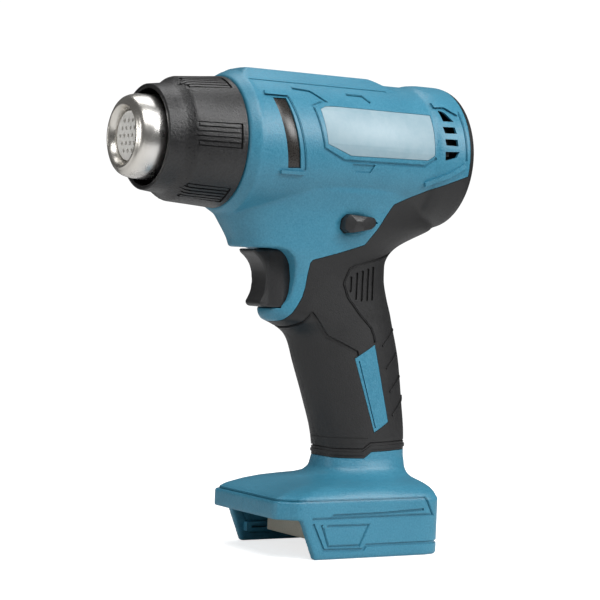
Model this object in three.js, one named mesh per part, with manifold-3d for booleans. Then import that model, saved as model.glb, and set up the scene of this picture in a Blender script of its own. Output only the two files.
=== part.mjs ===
// Cordless heat gun, bare tool without its battery. Millimetres, +Z up.
// The nozzle points to -X, the left side of the tool is -Y, and it stands on its foot at z = 0.
import * as THREE from 'three';
import { mergeVertices } from 'three/addons/utils/BufferGeometryUtils.js';
import Module from 'manifold-3d';

const wasm = await Module();
wasm.setup();

// ---- driving dimensions ----
const GAP = 0.3; // clearance between neighbouring pieces
const WALL = 3; // moulded wall of the housing
const SKIN = 2; // thickness of the soft overmould
const AXIS_Z = 211.5; // height of the barrel's axis
const BARREL_R = 37;
const REAR_R = 38.6;
const BARREL_FRONT = -42;
const BARREL_REAR = 96.5;
const CAVITY_R = BARREL_R - WALL;
const RIDGE_TOP = 251;
const FOOT_HALF_WIDTH = 39;
const FOOT_FRONT = -17.5;
const FOOT_REAR = 84.5;
const BAY_TOP = 20.5; // ceiling of the battery bay
const BAY_HALF_WIDTH = 34.5;
const TERMINAL_FRONT = 10;
const BLADE_Y = 13.5; // the contact blades stand this far from the middle
const TRIGGER_HALF_WIDTH = 10.7;
const TRIGGER_TRAVEL = 6;
const POCKET_FLOOR = 127.3; // the trigger's opening, lower and upper edge
const POCKET_TOP = 158.5;
const SWITCH_FRONT = 20;
const NOZZLE_FRONT = -96.5;
const COLLAR_FRONT = -83.4;
const COLLAR_REAR = BARREL_FRONT - 1.4;
const SPIGOT_R = 29.4; // the ring on the housing that the heat collar turns on
const WIDE = 60; // reaches past the object on either side
const SMALLEST = 0.03; // edges shorter than this are merged away
const HALF_SEAM = 0.15; // each half stops this far from the middle plane
const LUG_TURNS = [30, 150, 270]; // the collar's bayonet lugs, degrees from +Y
const SCREW_SEAT = 8.6; // the heads rest this far right of the middle
const HEAD_HOLE_R = 4;
const SHANK_HOLE_R = 1.95;
const HOLE_PITCH = 4.4; // rings of holes in the ceramic disc

// Handle and lower body: height, front, rear, half-width, squareness of the section.
const BODY_LEVELS = [
  [30, 26, 80, 21, 2.4],
  [44, 26.6, 79.2, 19, 2.3],
  [60, 25.2, 79, 18.5, 2.2],
  [80, 18.8, 76.8, 18.5, 2.2],
  [100, 11.3, 74.1, 18.5, 2.2],
  [115, 4.4, 70.4, 18.5, 2.2],
  [119.5, -2, 69, 18.6, 2.3],
  [125, -10.8, 67.2, 18.8, 2.5],
  [135, -11, 63.8, 19, 2.5],
  [145, -14, 61.4, 19.4, 2.6],
  [155, -27, 64, 21, 2.8],
  [160, -33, 69.5, 22.5, 3],
  [165, -36.5, 78, 23.5, 3],
  [170, -39.5, 88, 24.5, 3],
  [178, -41, 92, 26, 3],
  [190, -41, 92, 31, 3],
];

// Side outlines (x, z).
const GRIP_OUTLINE = [
  [100, 256], [92, 256], [92, 201], [65, 191], [47, 184], [44, 180], [33, 163.5], [7, 153], [5, 150],
  [4, 140], [2, 131], [-2, 124], [-8, 120], [-20, 120], [-20, 52], [12, 52], [30, 49.5], [46, 49.5],
  [50, 52.5], [68, 53], [100, 53],
];
const INSERT_OUTLINE = [[37, 102.5], [49, 110], [59.5, 68.5], [51, 63.5]];
const RIDGE_OUTLINE = [
  [-41.4, 225], [-41.4, 246], [-36.8, 248.4], [-32, RIDGE_TOP], [50, RIDGE_TOP], [60, 247.5], [68, 240],
  [68, 225],
];
const TRIM_OUTLINE = [[-26.8, 234.3], [-18.9, 234.5], [-12, 199.3], [-19.6, 199]];
const PLATE_OUTLINE = [
  [0.3, 230.3], [7, 232], [66, 232], [66, 210], [62, 207.8], [17, 207.3], [2.7, 212.5],
];
const TRIGGER_OUTLINE = [
  [6, 157.9], [-21.5, 157.9], [-17.5, 154.5], [-14.5, 151], [-13, 147], [-12.5, 141], [-13.3, 136],
  [-14.9, 132.5], [-15.6, 130.3], [-14.2, 127.9], [6, 127.9],
];
const TRIGGER_FACE_HALF_WIDTH = 6.6; // the finger's face is narrower than the bar behind it
const TRIGGER_FACE_DEPTH = 4;
const LOCK_OUTLINE = [
  [20.5, 170], [23, 168], [37, 170.5], [42.5, 174], [38.5, 176.5], [22.5, 177.5], [20.5, 175],
];
const LOCK_LEFT = -31.5; // the lock bolt stands out here at rest
const LOCK_RIGHT = 26.3;
const FOOT_PLAN = [
  [FOOT_FRONT, -31], [-7, -FOOT_HALF_WIDTH], [75, -FOOT_HALF_WIDTH], [81.5, -36], [FOOT_REAR, -29],
];
const SCREW_PLACES = [
  [-24, 243.5], [74, 240.5], [-23, 169], [62, 172], [22, 112], [56, 78], [-6, 27.5], [72.5, 27.5],
];

// ---- solids from geometry ----
function solid(geometry) {
  const bare = geometry.index ? geometry.clone() : mergeVertices(geometry.clone());
  bare.deleteAttribute('normal');
  bare.deleteAttribute('uv');
  const merged = mergeVertices(bare, 1e-4);
  const mesh = new wasm.Mesh({
    numProp: 3,
    vertProperties: new Float32Array(merged.attributes.position.array),
    triVerts: new Uint32Array(merged.index.array),
  });
  mesh.merge();
  return new wasm.Manifold(mesh);
}

// Slivers left by the cuts are merged away, so that every edge stays longer than the smallest real gap.
function geometryOf(manifold) {
  const mesh = manifold.simplify(SMALLEST).getMesh();
  const geometry = new THREE.BufferGeometry();
  geometry.setAttribute('position', new THREE.BufferAttribute(mesh.vertProperties, 3));
  geometry.setIndex(new THREE.BufferAttribute(mesh.triVerts, 1));
  return geometry;
}

// A turned shape about the barrel's axis, from a closed profile of (x, radius) points.
function turned(profile, segments = 32) {
  const points = profile.map(([x, radius]) => new THREE.Vector2(radius, x));
  if (THREE.ShapeUtils.area(points) < 0) points.reverse();
  const onAxis = points[0].x === 0;
  if (!onAxis) points.push(points[0].clone());
  const geometry = new THREE.LatheGeometry(points, segments);
  geometry.rotateZ(-Math.PI / 2);
  geometry.translate(0, 0, AXIS_Z);
  return solid(geometry);
}

function shapeOf(outline) {
  return new THREE.Shape(outline.map(([a, b]) => new THREE.Vector2(a, b)));
}

// A side outline (x, z) carried across the tool from y = low to y = high.
function sideSlab(outline, low = -WIDE, high = WIDE) {
  const geometry = new THREE.ExtrudeGeometry(shapeOf(outline), { depth: high - low, bevelEnabled: false });
  geometry.rotateX(Math.PI / 2);
  geometry.translate(0, high, 0);
  return solid(geometry);
}

// An end-on outline (y, z) carried along X.
function endSlab(outline, low, high) {
  const geometry = new THREE.ExtrudeGeometry(shapeOf(outline), { depth: high - low, bevelEnabled: false });
  geometry.rotateX(Math.PI / 2);
  geometry.rotateZ(Math.PI / 2);
  geometry.translate(low, 0, 0);
  return solid(geometry);
}

function box(x0, x1, y0, y1, z0, z1) {
  const geometry = new THREE.BoxGeometry(x1 - x0, y1 - y0, z1 - z0);
  geometry.translate((x0 + x1) / 2, (y0 + y1) / 2, (z0 + z1) / 2);
  return solid(geometry);
}

function crossPin(x, z, radius, y0, y1, segments = 10) {
  const geometry = new THREE.CylinderGeometry(radius, radius, y1 - y0, segments);
  geometry.translate(x, (y0 + y1) / 2, z);
  return solid(geometry);
}

// Sections stacked in z: each level is [z, front, rear, half-width, squareness].
function stack(levels, inset = 0, around = 20) {
  const geometry = new THREE.CylinderGeometry(1, 1, 1, around, levels.length - 1);
  const place = geometry.attributes.position;
  for (let i = 0; i < place.count; i += 1) {
    const row = Math.round((place.getY(i) + 0.5) * (levels.length - 1));
    const [z, front, rear, half, square] = levels[row];
    const across = place.getX(i);
    const along = place.getZ(i);
    const curve = (value) => Math.sign(value) * Math.abs(value) ** (2 / square);
    const x = (front + rear) / 2 + ((rear - front) / 2 - inset) * curve(across);
    place.setXYZ(i, x, -(half - inset) * curve(along), z);
  }
  return solid(geometry);
}

function grown(outline, amount) {
  const area = THREE.ShapeUtils.area(outline.map(([a, b]) => new THREE.Vector2(a, b)));
  const side = Math.sign(area) * amount;
  const count = outline.length;
  return outline.map(([x, z], i) => {
    const [px, pz] = outline[(i + count - 1) % count];
    const [nx, nz] = outline[(i + 1) % count];
    const before = new THREE.Vector2(x - px, z - pz).normalize();
    const after = new THREE.Vector2(nx - x, nz - z).normalize();
    const outward = new THREE.Vector2(before.y + after.y, -before.x - after.x);
    const reach = side / (1 + before.dot(after));
    return [x + outward.x * reach, z + outward.y * reach];
  });
}

function wire(points, radius, steps, sides = 6) {
  const section = new THREE.Shape();
  section.absarc(0, 0, radius, 0, Math.PI * 2);
  const route = new THREE.CatmullRomCurve3(points.map(([x, y, z]) => new THREE.Vector3(x, y, z)));
  return new THREE.ExtrudeGeometry(section, {
    steps, curveSegments: sides / 2, extrudePath: route, bevelEnabled: false,
  });
}

// ---- the outer form, and the same form shrunk by an inset ----
function barrelForm(inset) {
  return turned([
    [BARREL_FRONT + inset, 0], [BARREL_FRONT + inset, 34.5 - inset], [-36.5 + inset, 37.6 - inset],
    [-32, BARREL_R - inset], [66, BARREL_R - inset], [76, REAR_R - inset], [91.5, REAR_R - inset],
    [95.2 - inset, REAR_R - 1.8 - inset], [BARREL_REAR - inset, REAR_R - 4.5 - inset], [BARREL_REAR - inset, 0],
  ]);
}

function ridgeForm(inset) {
  const section = [
    [-20.5, 225], [20.5, 225], [20.5, 242.4], [11, 250.2], [0, RIDGE_TOP], [-11, 250.2], [-20.5, 242.4],
  ];
  const crown = endSlab(grown(section, -inset || 0), BARREL_FRONT, 70);
  return crown.intersect(sideSlab(grown(RIDGE_OUTLINE, -inset || 0)));
}

function recess(offset) {
  return [
    [-WIDE, POCKET_TOP + offset], [-11.5 + offset, POCKET_TOP + offset], [-5.3 + offset, 155.7 + offset],
    [-2.2 + offset, 150.5], [-1.2 + offset, 143], [-1.8 + offset, 136], [-3.4 + offset, 130.5],
    [-6.4 + offset, POCKET_FLOOR - offset], [-WIDE, POCKET_FLOOR - offset],
  ];
}

function footForm() {
  const plan = FOOT_PLAN.concat(FOOT_PLAN.map(([x, y]) => [x, -y]).reverse());
  const layer = (amount, depth, z) => {
    const geometry = new THREE.ExtrudeGeometry(shapeOf(grown(plan, amount)), { depth, bevelEnabled: false });
    geometry.translate(0, 0, z);
    return solid(geometry);
  };
  const block = layer(0, 30, 0).add(layer(-1.2, 3, 30)).add(layer(-3.5, 2, 33));
  const shoulders = stack([
    [34, -12, 81, 35, 4], [37, -3, 81, 32, 3.4], [40, 8, 80.5, 27, 3],
    [44, 20, 80, 22, 2.6], [48, 26, 79.2, 19, 2.3],
  ]);
  return block.add(shoulders);
}

function outerForm(inset) {
  return joined([barrelForm(inset), ridgeForm(inset), stack(BODY_LEVELS, inset), footForm()]);
}

// ---- housing ----
function batteryBay() {
  const open = box(-40, FOOT_REAR - 5, -BAY_HALF_WIDTH, BAY_HALF_WIDTH, -1, BAY_TOP);
  const skirtFront = sideSlab([[-40, -1], [4.3, -1], [-5, BAY_TOP], [-40, BAY_TOP]]);
  const rail = (side) => box(10, FOOT_REAR - 5, side * 32.5 - 2.2, side * 32.5 + 2.2, 6, 9.5);
  return open.add(skirtFront).subtract(rail(1)).subtract(rail(-1));
}

function innerSpace() {
  const barrel = turned([
    [BARREL_FRONT + 3, 0], [BARREL_FRONT + 3, CAVITY_R - 2], [-34, CAVITY_R], [89.5, CAVITY_R], [89.5, 28.6],
    [92.3, 28.6], [92.3, 0],
  ]);
  const handle = stack(BODY_LEVELS.filter(([z]) => z <= 190), SKIN + WALL + GAP, 16);
  const recessWall = sideSlab(grown(recess(0), WALL));
  const lip = sideSlab([[-20, 115], [10, 115], [13, 128], [-20, 128]]);
  const floor = box(-45, 10, -40, 40, 150, POCKET_TOP + WALL);
  const footRoom = box(-12, 78, -33.5, 33.5, BAY_TOP + WALL, 31).add(stack([
    [30, -6, 76, 31, 4], [35, -1, 76, 27, 3.4], [38, 12, 76, 22, 3], [42, 26, 75, 16, 2.6], [48, 32, 74, 13, 2.2],
  ], 0, 16));
  return handle.subtract(recessWall).subtract(lip).subtract(floor).add(barrel).add(footRoom);
}

function ventSlots() {
  const slots = [[232.2, 5.4], [224.8, 3.6], [218.2, 3.6], [211.2, 4]];
  return slots.map(([z, height]) => box(75, 84, -WIDE, WIDE, z - height / 2, z + height / 2));
}

function spigot() {
  const ring = turned([
    [BARREL_FRONT + 0.5, 26], [BARREL_FRONT + 0.5, SPIGOT_R], [BARREL_FRONT - 8, SPIGOT_R], [BARREL_FRONT - 8, 26],
  ]);
  const groove = turned([
    [BARREL_FRONT - 3.4, 27.9], [BARREL_FRONT - 3.4, 31], [BARREL_FRONT - 6.4, 31], [BARREL_FRONT - 6.4, 27.9],
  ]);
  let cut = ring.subtract(groove);
  for (const turn of LUG_TURNS) {
    cut = cut.subtract(sector(27.4, 31, BARREL_FRONT - 9, BARREL_FRONT - 5, turn + 18, turn + 36));
  }
  return cut;
}

// A block between two radii and two angles, in degrees about the barrel's axis from +Y.
function sector(inner, outer, x0, x1, from, to) {
  const low = THREE.MathUtils.degToRad(from);
  const high = THREE.MathUtils.degToRad(to);
  const shape = new THREE.Shape();
  shape.absarc(0, 0, outer, low, high, false);
  shape.absarc(0, 0, inner, high, low, true);
  const geometry = new THREE.ExtrudeGeometry(shape, { depth: x1 - x0, bevelEnabled: false, curveSegments: 2 });
  geometry.rotateX(Math.PI / 2);
  geometry.rotateZ(Math.PI / 2);
  geometry.translate(x0, 0, AXIS_Z);
  return solid(geometry);
}

function screwBosses(form, side) {
  const limit = form.intersect(side > 0 ? box(-99, 99, 0, WIDE, 0, 260) : box(-99, 99, -WIDE, 0, 0, 260));
  return SCREW_PLACES.map(([x, z]) => {
    const radius = side > 0 ? 5.4 : 4.4;
    const post = side > 0 ? crossPin(x, z, radius, 0, WIDE) : crossPin(x, z, radius, -WIDE, 0);
    return post.intersect(limit);
  });
}

function screwHoles(side) {
  return SCREW_PLACES.flatMap(([x, z]) => {
    if (side < 0) return [crossPin(x, z, SHANK_HOLE_R, -11, 1)];
    return [crossPin(x, z, SHANK_HOLE_R, -1, 12), crossPin(x, z, HEAD_HOLE_R, SCREW_SEAT - GAP, WIDE)];
  });
}

function screw(x, z) {
  const head = crossPin(x, z, 3.6, SCREW_SEAT, SCREW_SEAT + 2.6);
  const shank = crossPin(x, z, 1.6, -10, SCREW_SEAT + 0.5, 10);
  const drive = crossPin(x, z, 1.3, SCREW_SEAT + 1.2, SCREW_SEAT + 4, 6);
  return head.add(shank).subtract(drive);
}

function joined(pieces) {
  return pieces.reduce((whole, piece) => whole.add(piece));
}

function cutAll(whole, pieces) {
  return pieces.reduce((rest, piece) => rest.subtract(piece), whole);
}

function halfSpace(side) {
  return side > 0 ? box(-120, 120, HALF_SEAM, WIDE, -1, 260) : box(-120, 120, -WIDE, -HALF_SEAM, -1, 260);
}

function housingHalf(side, forms) {
  const { outer, underGrip, grip, space } = forms;
  const skinRoom = sideSlab(grown(grip, GAP)).subtract(sideSlab(INSERT_OUTLINE)).subtract(underGrip);
  let shell = outer.subtract(skinRoom).subtract(space);
  shell = joined([shell, spigot(), ...screwBosses(underGrip, side)]);
  const half = halfSpace(side);
  const underPlate = turned([[-50, 0], [-50, 35.9], [95, 35.9], [95, 0]]);
  const plateRoom = sideSlab(grown(PLATE_OUTLINE, GAP)).subtract(underPlate);
  return cutAll(shell.intersect(half), [
    ...screwHoles(side),
    ...ventSlots(),
    batteryBay(),
    terminalRoom(),
    sideSlab(recess(0)),
    triggerRoom(),
    lockRoom(),
    plateRoom,
    sideSlab(TRIM_OUTLINE).subtract(turned([[-50, 0], [-50, 31], [95, 31], [95, 0]])),
    turned([[92, 0], [92, 26], [97, 26], [97, 0]]),
    turned([[-60, 0], [-60, 24.3], [-30, 24.3], [-30, 0]]),
  ]);
}

function triggerRoom() {
  const half = TRIGGER_HALF_WIDTH + GAP + 0.1;
  return box(-50, 6 + TRIGGER_TRAVEL + 1, -half, half, POCKET_FLOOR, POCKET_TOP - 0.1);
}

function lockRoom() {
  return sideSlab(grown(LOCK_OUTLINE, GAP));
}

function terminalRoom() {
  return box(17.7, 48.3, -20.3, 20.3, BAY_TOP - 1, BAY_TOP + WALL + 1);
}

function gripHalf(side, forms) {
  const { outer, overmould, grip } = forms;
  const half = halfSpace(side);
  const skin = outer.subtract(overmould).intersect(sideSlab(grip)).intersect(half);
  const heads = SCREW_PLACES.map(([x, z]) => crossPin(x, z, HEAD_HOLE_R, SCREW_SEAT - GAP, WIDE));
  return cutAll(skin, [
    sideSlab(grown(INSERT_OUTLINE, GAP)),
    turned([[90, 0], [90, 26], [99, 26], [99, 0]]),
    lockRoom(),
    sideSlab(recess(GAP)),
    ...(side > 0 ? heads : []),
  ]);
}

// ---- nozzle end ----
function heatCollar() {
  const sleeve = turned([
    [COLLAR_FRONT, 24.3], [COLLAR_FRONT, 26.8], [-76, 28], [-71.5, 30.4], [-69, 30.8], [COLLAR_REAR, 33.8],
    [COLLAR_REAR, 31.2], [-48.5, SPIGOT_R + 0.4], [-52, SPIGOT_R + 0.4], [-54, 27.4], [-70, 26.2], [-81, 24.9],
  ], 40);
  const pads = [];
  for (let turn = 3; turn < 360; turn += 60) {
    for (let rib = -2; rib <= 2; rib += 1) {
      const middle = turn + rib * 5;
      pads.push(sector(30.4, 36, -66, -46, middle - 1.6, middle + 1.6));
    }
  }
  const lugs = LUG_TURNS.map((turn) => sector(28.2, SPIGOT_R + 0.7, -48, -46, turn - 7, turn + 7));
  return joined([cutAll(sleeve, pads), ...lugs]);
}

function nozzle() {
  return turned([
    [NOZZLE_FRONT, 14.8], [NOZZLE_FRONT, 16.7], [-95.2, 19.1], [-92, 20.5], [-88.5, 21.2], [-84, 21.4],
    [-60, 21.4], [-60, 20.7], [-84, 20.7], [-90, 20], [-94.2, 18.2], [-93, 13.4], [-87, 13.2], [-87, 12.9],
    [-94, 12.9],
  ], 32);
}

function heaterGrille() {
  const disc = turned([[-92.6, 0], [-92.6, 12.5], [-88.5, 12.5], [-88.5, 0]], 32);
  const holes = [[0, 0]];
  for (let ring = 1; ring <= 2; ring += 1) {
    for (let i = 0; i < ring * 6; i += 1) {
      const turn = (i * Math.PI) / (ring * 3);
      holes.push([ring * HOLE_PITCH * Math.cos(turn), ring * HOLE_PITCH * Math.sin(turn)]);
    }
  }
  return cutAll(disc, holes.map(([y, z]) => {
    const geometry = new THREE.CylinderGeometry(1.5, 1.5, 10, 6);
    geometry.rotateZ(Math.PI / 2);
    geometry.translate(-90, y, AXIS_Z + z);
    return solid(geometry);
  }));
}

// ---- heater ----
function tubeAlong(x0, x1, inner, outer, segments = 32) {
  return turned([[x0, inner], [x0, outer], [x1, outer], [x1, inner]], segments);
}

// The tube and its sleeve are notched at the back, where the leads come in.
function notchedTube(x0, x1, inner, outer) {
  const notches = [-6, 6].map((y) => box(13, 26, y - 1.8, y + 1.8, AXIS_Z - 26, AXIS_Z - 14));
  return cutAll(tubeAlong(x0, x1, inner, outer), notches);
}

function heaterFormer() {
  const upright = box(-84, 22, -0.6, 0.6, AXIS_Z - 15, AXIS_Z + 15);
  const across = box(-84, 22, -15, 15, AXIS_Z - 0.6, AXIS_Z + 0.6);
  return upright.add(across);
}

function heatingCoil() {
  const turns = 8;
  const perTurn = 10;
  const points = [];
  for (let i = 0; i <= turns * perTurn; i += 1) {
    const turn = (i / perTurn) * Math.PI * 2 + 0.4;
    const x = -78 + (i / (turns * perTurn)) * 92;
    points.push([x, 16.6 * Math.cos(turn), AXIS_Z + 16.6 * Math.sin(turn)]);
  }
  return wire(points, 0.7, turns * perTurn);
}

// ---- air supply ----
function fanShroud() {
  return turned([
    [25, 19.9], [25, 22.5], [36, 29.5], [36, CAVITY_R - GAP], [39, CAVITY_R - GAP],
    [39, 29.5], [56, 29.5], [56, 27.8],
    [38, 27.8],
  ], 36);
}

function fanImpeller() {
  const hub = turned([[40, 0], [40, 5], [44, 8], [53, 8.5], [53, 24.5], [54.4, 24.5], [54.4, 0]], 32);
  const blades = [];
  for (let i = 0; i < 9; i += 1) {
    const geometry = new THREE.BoxGeometry(12.2, 18.5, 1.4);
    geometry.translate(47.6, 16, 0);
    geometry.rotateX((i / 9) * Math.PI * 2);
    geometry.translate(0, 0, AXIS_Z);
    blades.push(solid(geometry));
  }
  return joined([hub, ...blades]).subtract(tubeAlong(51, 56, 0, 1.8, 12));
}

function motorMount() {
  const ring = tubeAlong(61, 64, 14.4, CAVITY_R - GAP, 36);
  const ports = [];
  for (let i = 0; i < 6; i += 1) {
    ports.push(sector(18, 30, 60, 65, i * 60 + 6, i * 60 + 54));
  }
  return cutAll(ring, ports);
}

function fanMotor() {
  const can = turned([
    [58, 0], [58, 4], [59.5, 4], [59.5, 13.2], [60.5, 14], [84, 14], [85, 13], [85, 5], [87.5, 5], [87.5, 0],
  ], 32);
  return can.subtract(tubeAlong(50, 68, 0, 1.8, 12));
}

function motorShaft() {
  return tubeAlong(51.5, 67, 0, 1.45, 12);
}

// The intake cover at the back, held by its flange in a groove of the two halves.
function rearCover() {
  const disc = turned([[90, 0], [90, 28.2], [92, 28.2], [92, 25.7], [96, 25.7], [96, 0]], 40);
  const slots = [];
  for (let row = -3; row <= 3; row += 1) {
    const z = AXIS_Z + row * 6;
    const half = Math.sqrt(22 ** 2 - (row * 6) ** 2);
    slots.push(box(88, 98, -half, half, z - 1.6, z + 1.6));
  }
  return cutAll(disc, slots);
}

// ---- controls ----
function trigger() {
  const face = sideSlab(TRIGGER_OUTLINE, -TRIGGER_FACE_HALF_WIDTH, TRIGGER_FACE_HALF_WIDTH);
  const barOutline = TRIGGER_OUTLINE.map(([x, z]) => [x < 0 ? x + TRIGGER_FACE_DEPTH : x, z]);
  const bar = sideSlab(barOutline, -TRIGGER_HALF_WIDTH, TRIGGER_HALF_WIDTH);
  const hollow = box(-6.5, 7, -TRIGGER_HALF_WIDTH + 1.8, TRIGGER_HALF_WIDTH - 1.8, 131, 155);
  const stem = box(-8, 6, -3, 3, 139, 147);
  return face.add(bar).subtract(hollow).add(stem);
}

function switchPlunger() {
  const geometry = new THREE.CylinderGeometry(2.2, 2.2, 18, 14);
  geometry.rotateZ(Math.PI / 2);
  geometry.translate(6.3 + 9, 0, 143);
  return solid(geometry);
}

function triggerSpring() {
  const turns = 5;
  const perTurn = 9;
  const points = [];
  for (let i = 0; i <= turns * perTurn; i += 1) {
    const turn = (i / perTurn) * Math.PI * 2;
    points.push([7.1 + (i / (turns * perTurn)) * 11.8, 4 * Math.cos(turn), 143 + 4 * Math.sin(turn)]);
  }
  return wire(points, 0.4, turns * perTurn);
}

function switchBody() {
  const block = box(SWITCH_FRONT, 44, -9.5, 9.5, 129, 157);
  const tabs = box(30, 33, -6, -5, 156, 161).add(box(30, 33, 5, 6, 156, 161));
  const bore = new THREE.CylinderGeometry(2.6, 2.6, 16, 14);
  bore.rotateZ(Math.PI / 2);
  bore.translate(SWITCH_FRONT + 7.5, 0, 143);
  return block.add(tabs).subtract(solid(bore));
}

function lockButton() {
  return sideSlab(LOCK_OUTLINE, LOCK_LEFT, LOCK_RIGHT);
}

// ---- battery terminals and electronics ----
function terminalBlock() {
  const body = box(TERMINAL_FRONT, 48, -20, 20, 8, BAY_TOP - GAP);
  const neck = box(18, 48, -20, 20, 15, BAY_TOP + WALL);
  const slits = [BLADE_Y, -BLADE_Y].map((y) => box(TERMINAL_FRONT + 3, 41, y - 1.6, y + 1.6, 7, 17));
  return cutAll(body.add(neck), slits);
}

function terminalBlade(side) {
  const y = side * BLADE_Y;
  return box(20, 40.5, y - 0.5, y + 0.5, 10, 16);
}

function controlBoard() {
  const board = box(38, 64, -24, 24, 24, 25.6);
  const parts = [box(42, 52, -20, -8, 25.4, 30), box(54, 61, 2, 14, 25.4, 29), box(41, 48, 8, 20, 25.4, 28)];
  return joined([board, ...parts]);
}

function leads() {
  const routes = {
    battery_lead: (s) => [
      [30, 24.2], [33, 32], [41, 44], [47, 64], [45, 100], [41, 118], [38, 128],
    ].map(([x, z]) => [x, s * 5, z]),
    motor_lead: (s) => [
      [38, 158], [43, 166], [50, 175], [57, 180.4], [63, 187], [72, 192], [83, 193], [87.4, 197], [87.4, 203],
    ].map(([x, z]) => [x, s * 5.5, z]),
    heater_lead: (s) => [
      [23, 158.6], [17, 162.5], [12.2, 168], [12, 178], [15, 186], [18, 194], [18, 203],
    ].map(([x, z]) => [x, s * 6, z]),
  };
  const made = {};
  for (const [name, route] of Object.entries(routes)) {
    made[`${name}_positive`] = wire(route(1), 1.2, 14);
    made[`${name}_negative`] = wire(route(-1), 1.2, 14);
  }
  return made;
}

// ---- assembly ----
const COLOURS = {
  housing: [0x2a7d97, 0.5, 0],
  grip: [0x2b2c2e, 0.75, 0],
  black: [0x252628, 0.6, 0],
  steel: [0xc9c9c6, 0.25, 1],
  ceramic: [0xe6e2da, 0.8, 0],
  mica: [0xb9ad94, 0.7, 0],
  trim: [0x2a211f, 0.3, 0],
  plate: [0x4a93ab, 0.4, 0],
  pale: [0xa39a8b, 0.7, 0],
  brass: [0xb99a52, 0.35, 1],
  red: [0xa8322a, 0.6, 0],
  green: [0x2c5b45, 0.6, 0],
};

const heatGun = new THREE.Group();

function put(name, shape, finish) {
  const geometry = shape.isBufferGeometry ? shape : geometryOf(shape);
  const [color, roughness, metalness] = COLOURS[finish];
  const mesh = new THREE.Mesh(geometry, new THREE.MeshStandardMaterial({ color, roughness, metalness }));
  mesh.name = name;
  heatGun.add(mesh);
}

const forms = {
  outer: outerForm(0),
  overmould: outerForm(SKIN),
  underGrip: outerForm(SKIN + GAP),
  grip: GRIP_OUTLINE,
  space: innerSpace(),
};
put('housing_left', housingHalf(-1, forms), 'housing');
put('housing_right', housingHalf(1, forms), 'housing');
put('grip_left', gripHalf(-1, forms), 'grip');
put('grip_right', gripHalf(1, forms), 'grip');

for (const [name, side] of [['left', -1], ['right', 1]]) {
  const half = side < 0 ? box(-99, 99, -WIDE, -10, 180, 250) : box(-99, 99, 10, WIDE, 180, 250);
  const trimRing = tubeAlong(-40, 0, 33, 35.4, 64);
  const plateRing = tubeAlong(-5, 70, BARREL_R - 0.8, BARREL_R, 64);
  put(`side_trim_${name}`, sideSlab(grown(TRIM_OUTLINE, -GAP)).intersect(trimRing).intersect(half), 'trim');
  put(`name_plate_${name}`, sideSlab(PLATE_OUTLINE).intersect(plateRing).intersect(half), 'plate');
}

put('heat_collar', heatCollar(), 'black');
put('nozzle', nozzle(), 'steel');
put('heater_grille', heaterGrille(), 'ceramic');
put('heater_tube', notchedTube(-86, 24, 18.8, 19.5), 'steel');
put('insulation_sleeve', notchedTube(-58, 22, 22.2, 23), 'mica');
put('heater_former', heaterFormer(), 'mica');
put('heating_coil', heatingCoil(), 'steel');
put('thermal_cutout', box(14, 21, 4, 10, AXIS_Z + 2, AXIS_Z + 6), 'steel');
put('fan_shroud', fanShroud(), 'black');
put('fan_impeller', fanImpeller(), 'pale');
put('motor_shaft', motorShaft(), 'steel');
put('fan_motor', fanMotor(), 'steel');
put('motor_mount', motorMount(), 'black');
put('rear_cover', rearCover(), 'black');
put('trigger', trigger(), 'black');
put('switch_plunger', switchPlunger(), 'pale');
put('trigger_spring', triggerSpring(), 'steel');
put('switch_body', switchBody(), 'black');
put('lock_button', lockButton(), 'black');
put('terminal_block', terminalBlock(), 'pale');
put('terminal_blade_positive', terminalBlade(1), 'brass');
put('terminal_blade_negative', terminalBlade(-1), 'brass');
put('control_board', controlBoard(), 'green');

for (const [name, geometry] of Object.entries(leads())) {
  put(name, geometry, name.endsWith('positive') ? 'red' : 'black');
}

SCREW_PLACES.forEach(([x, z], i) => put(`housing_screw_${i + 1}`, screw(x, z), 'steel'));

export default heatGun;
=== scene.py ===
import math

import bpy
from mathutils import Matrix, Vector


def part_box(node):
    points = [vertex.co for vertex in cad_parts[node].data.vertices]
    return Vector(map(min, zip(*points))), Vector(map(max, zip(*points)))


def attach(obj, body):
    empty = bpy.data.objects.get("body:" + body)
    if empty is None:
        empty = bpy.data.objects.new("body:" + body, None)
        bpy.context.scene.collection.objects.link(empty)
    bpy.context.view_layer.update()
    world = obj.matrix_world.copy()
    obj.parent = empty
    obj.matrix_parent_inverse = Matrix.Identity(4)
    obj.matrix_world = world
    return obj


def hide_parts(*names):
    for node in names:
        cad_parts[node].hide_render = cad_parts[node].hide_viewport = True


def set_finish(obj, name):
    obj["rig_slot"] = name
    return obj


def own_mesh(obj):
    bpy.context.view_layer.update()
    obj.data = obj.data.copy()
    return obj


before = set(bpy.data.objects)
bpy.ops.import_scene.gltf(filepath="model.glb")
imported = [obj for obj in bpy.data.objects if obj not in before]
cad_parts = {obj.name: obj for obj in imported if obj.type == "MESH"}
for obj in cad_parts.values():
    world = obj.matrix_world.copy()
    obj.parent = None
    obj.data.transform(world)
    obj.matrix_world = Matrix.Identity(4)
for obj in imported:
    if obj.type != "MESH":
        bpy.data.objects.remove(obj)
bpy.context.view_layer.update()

# %% [markdown]
# # A cordless heat gun
# The loaded frame holds the working design: every piece at its real size and place. This script gives
# each visible piece its final surface. All drawing sizes below are in millimetres, as on a workshop
# drawing, and one factor turns them into Blender's metres at the moment a mesh is made.

MM = 0.001


def box_mm(node):
    """Lowest and highest corner of a node of the frame, in millimetres."""
    low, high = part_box(node)
    return low / MM, high / MM


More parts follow.
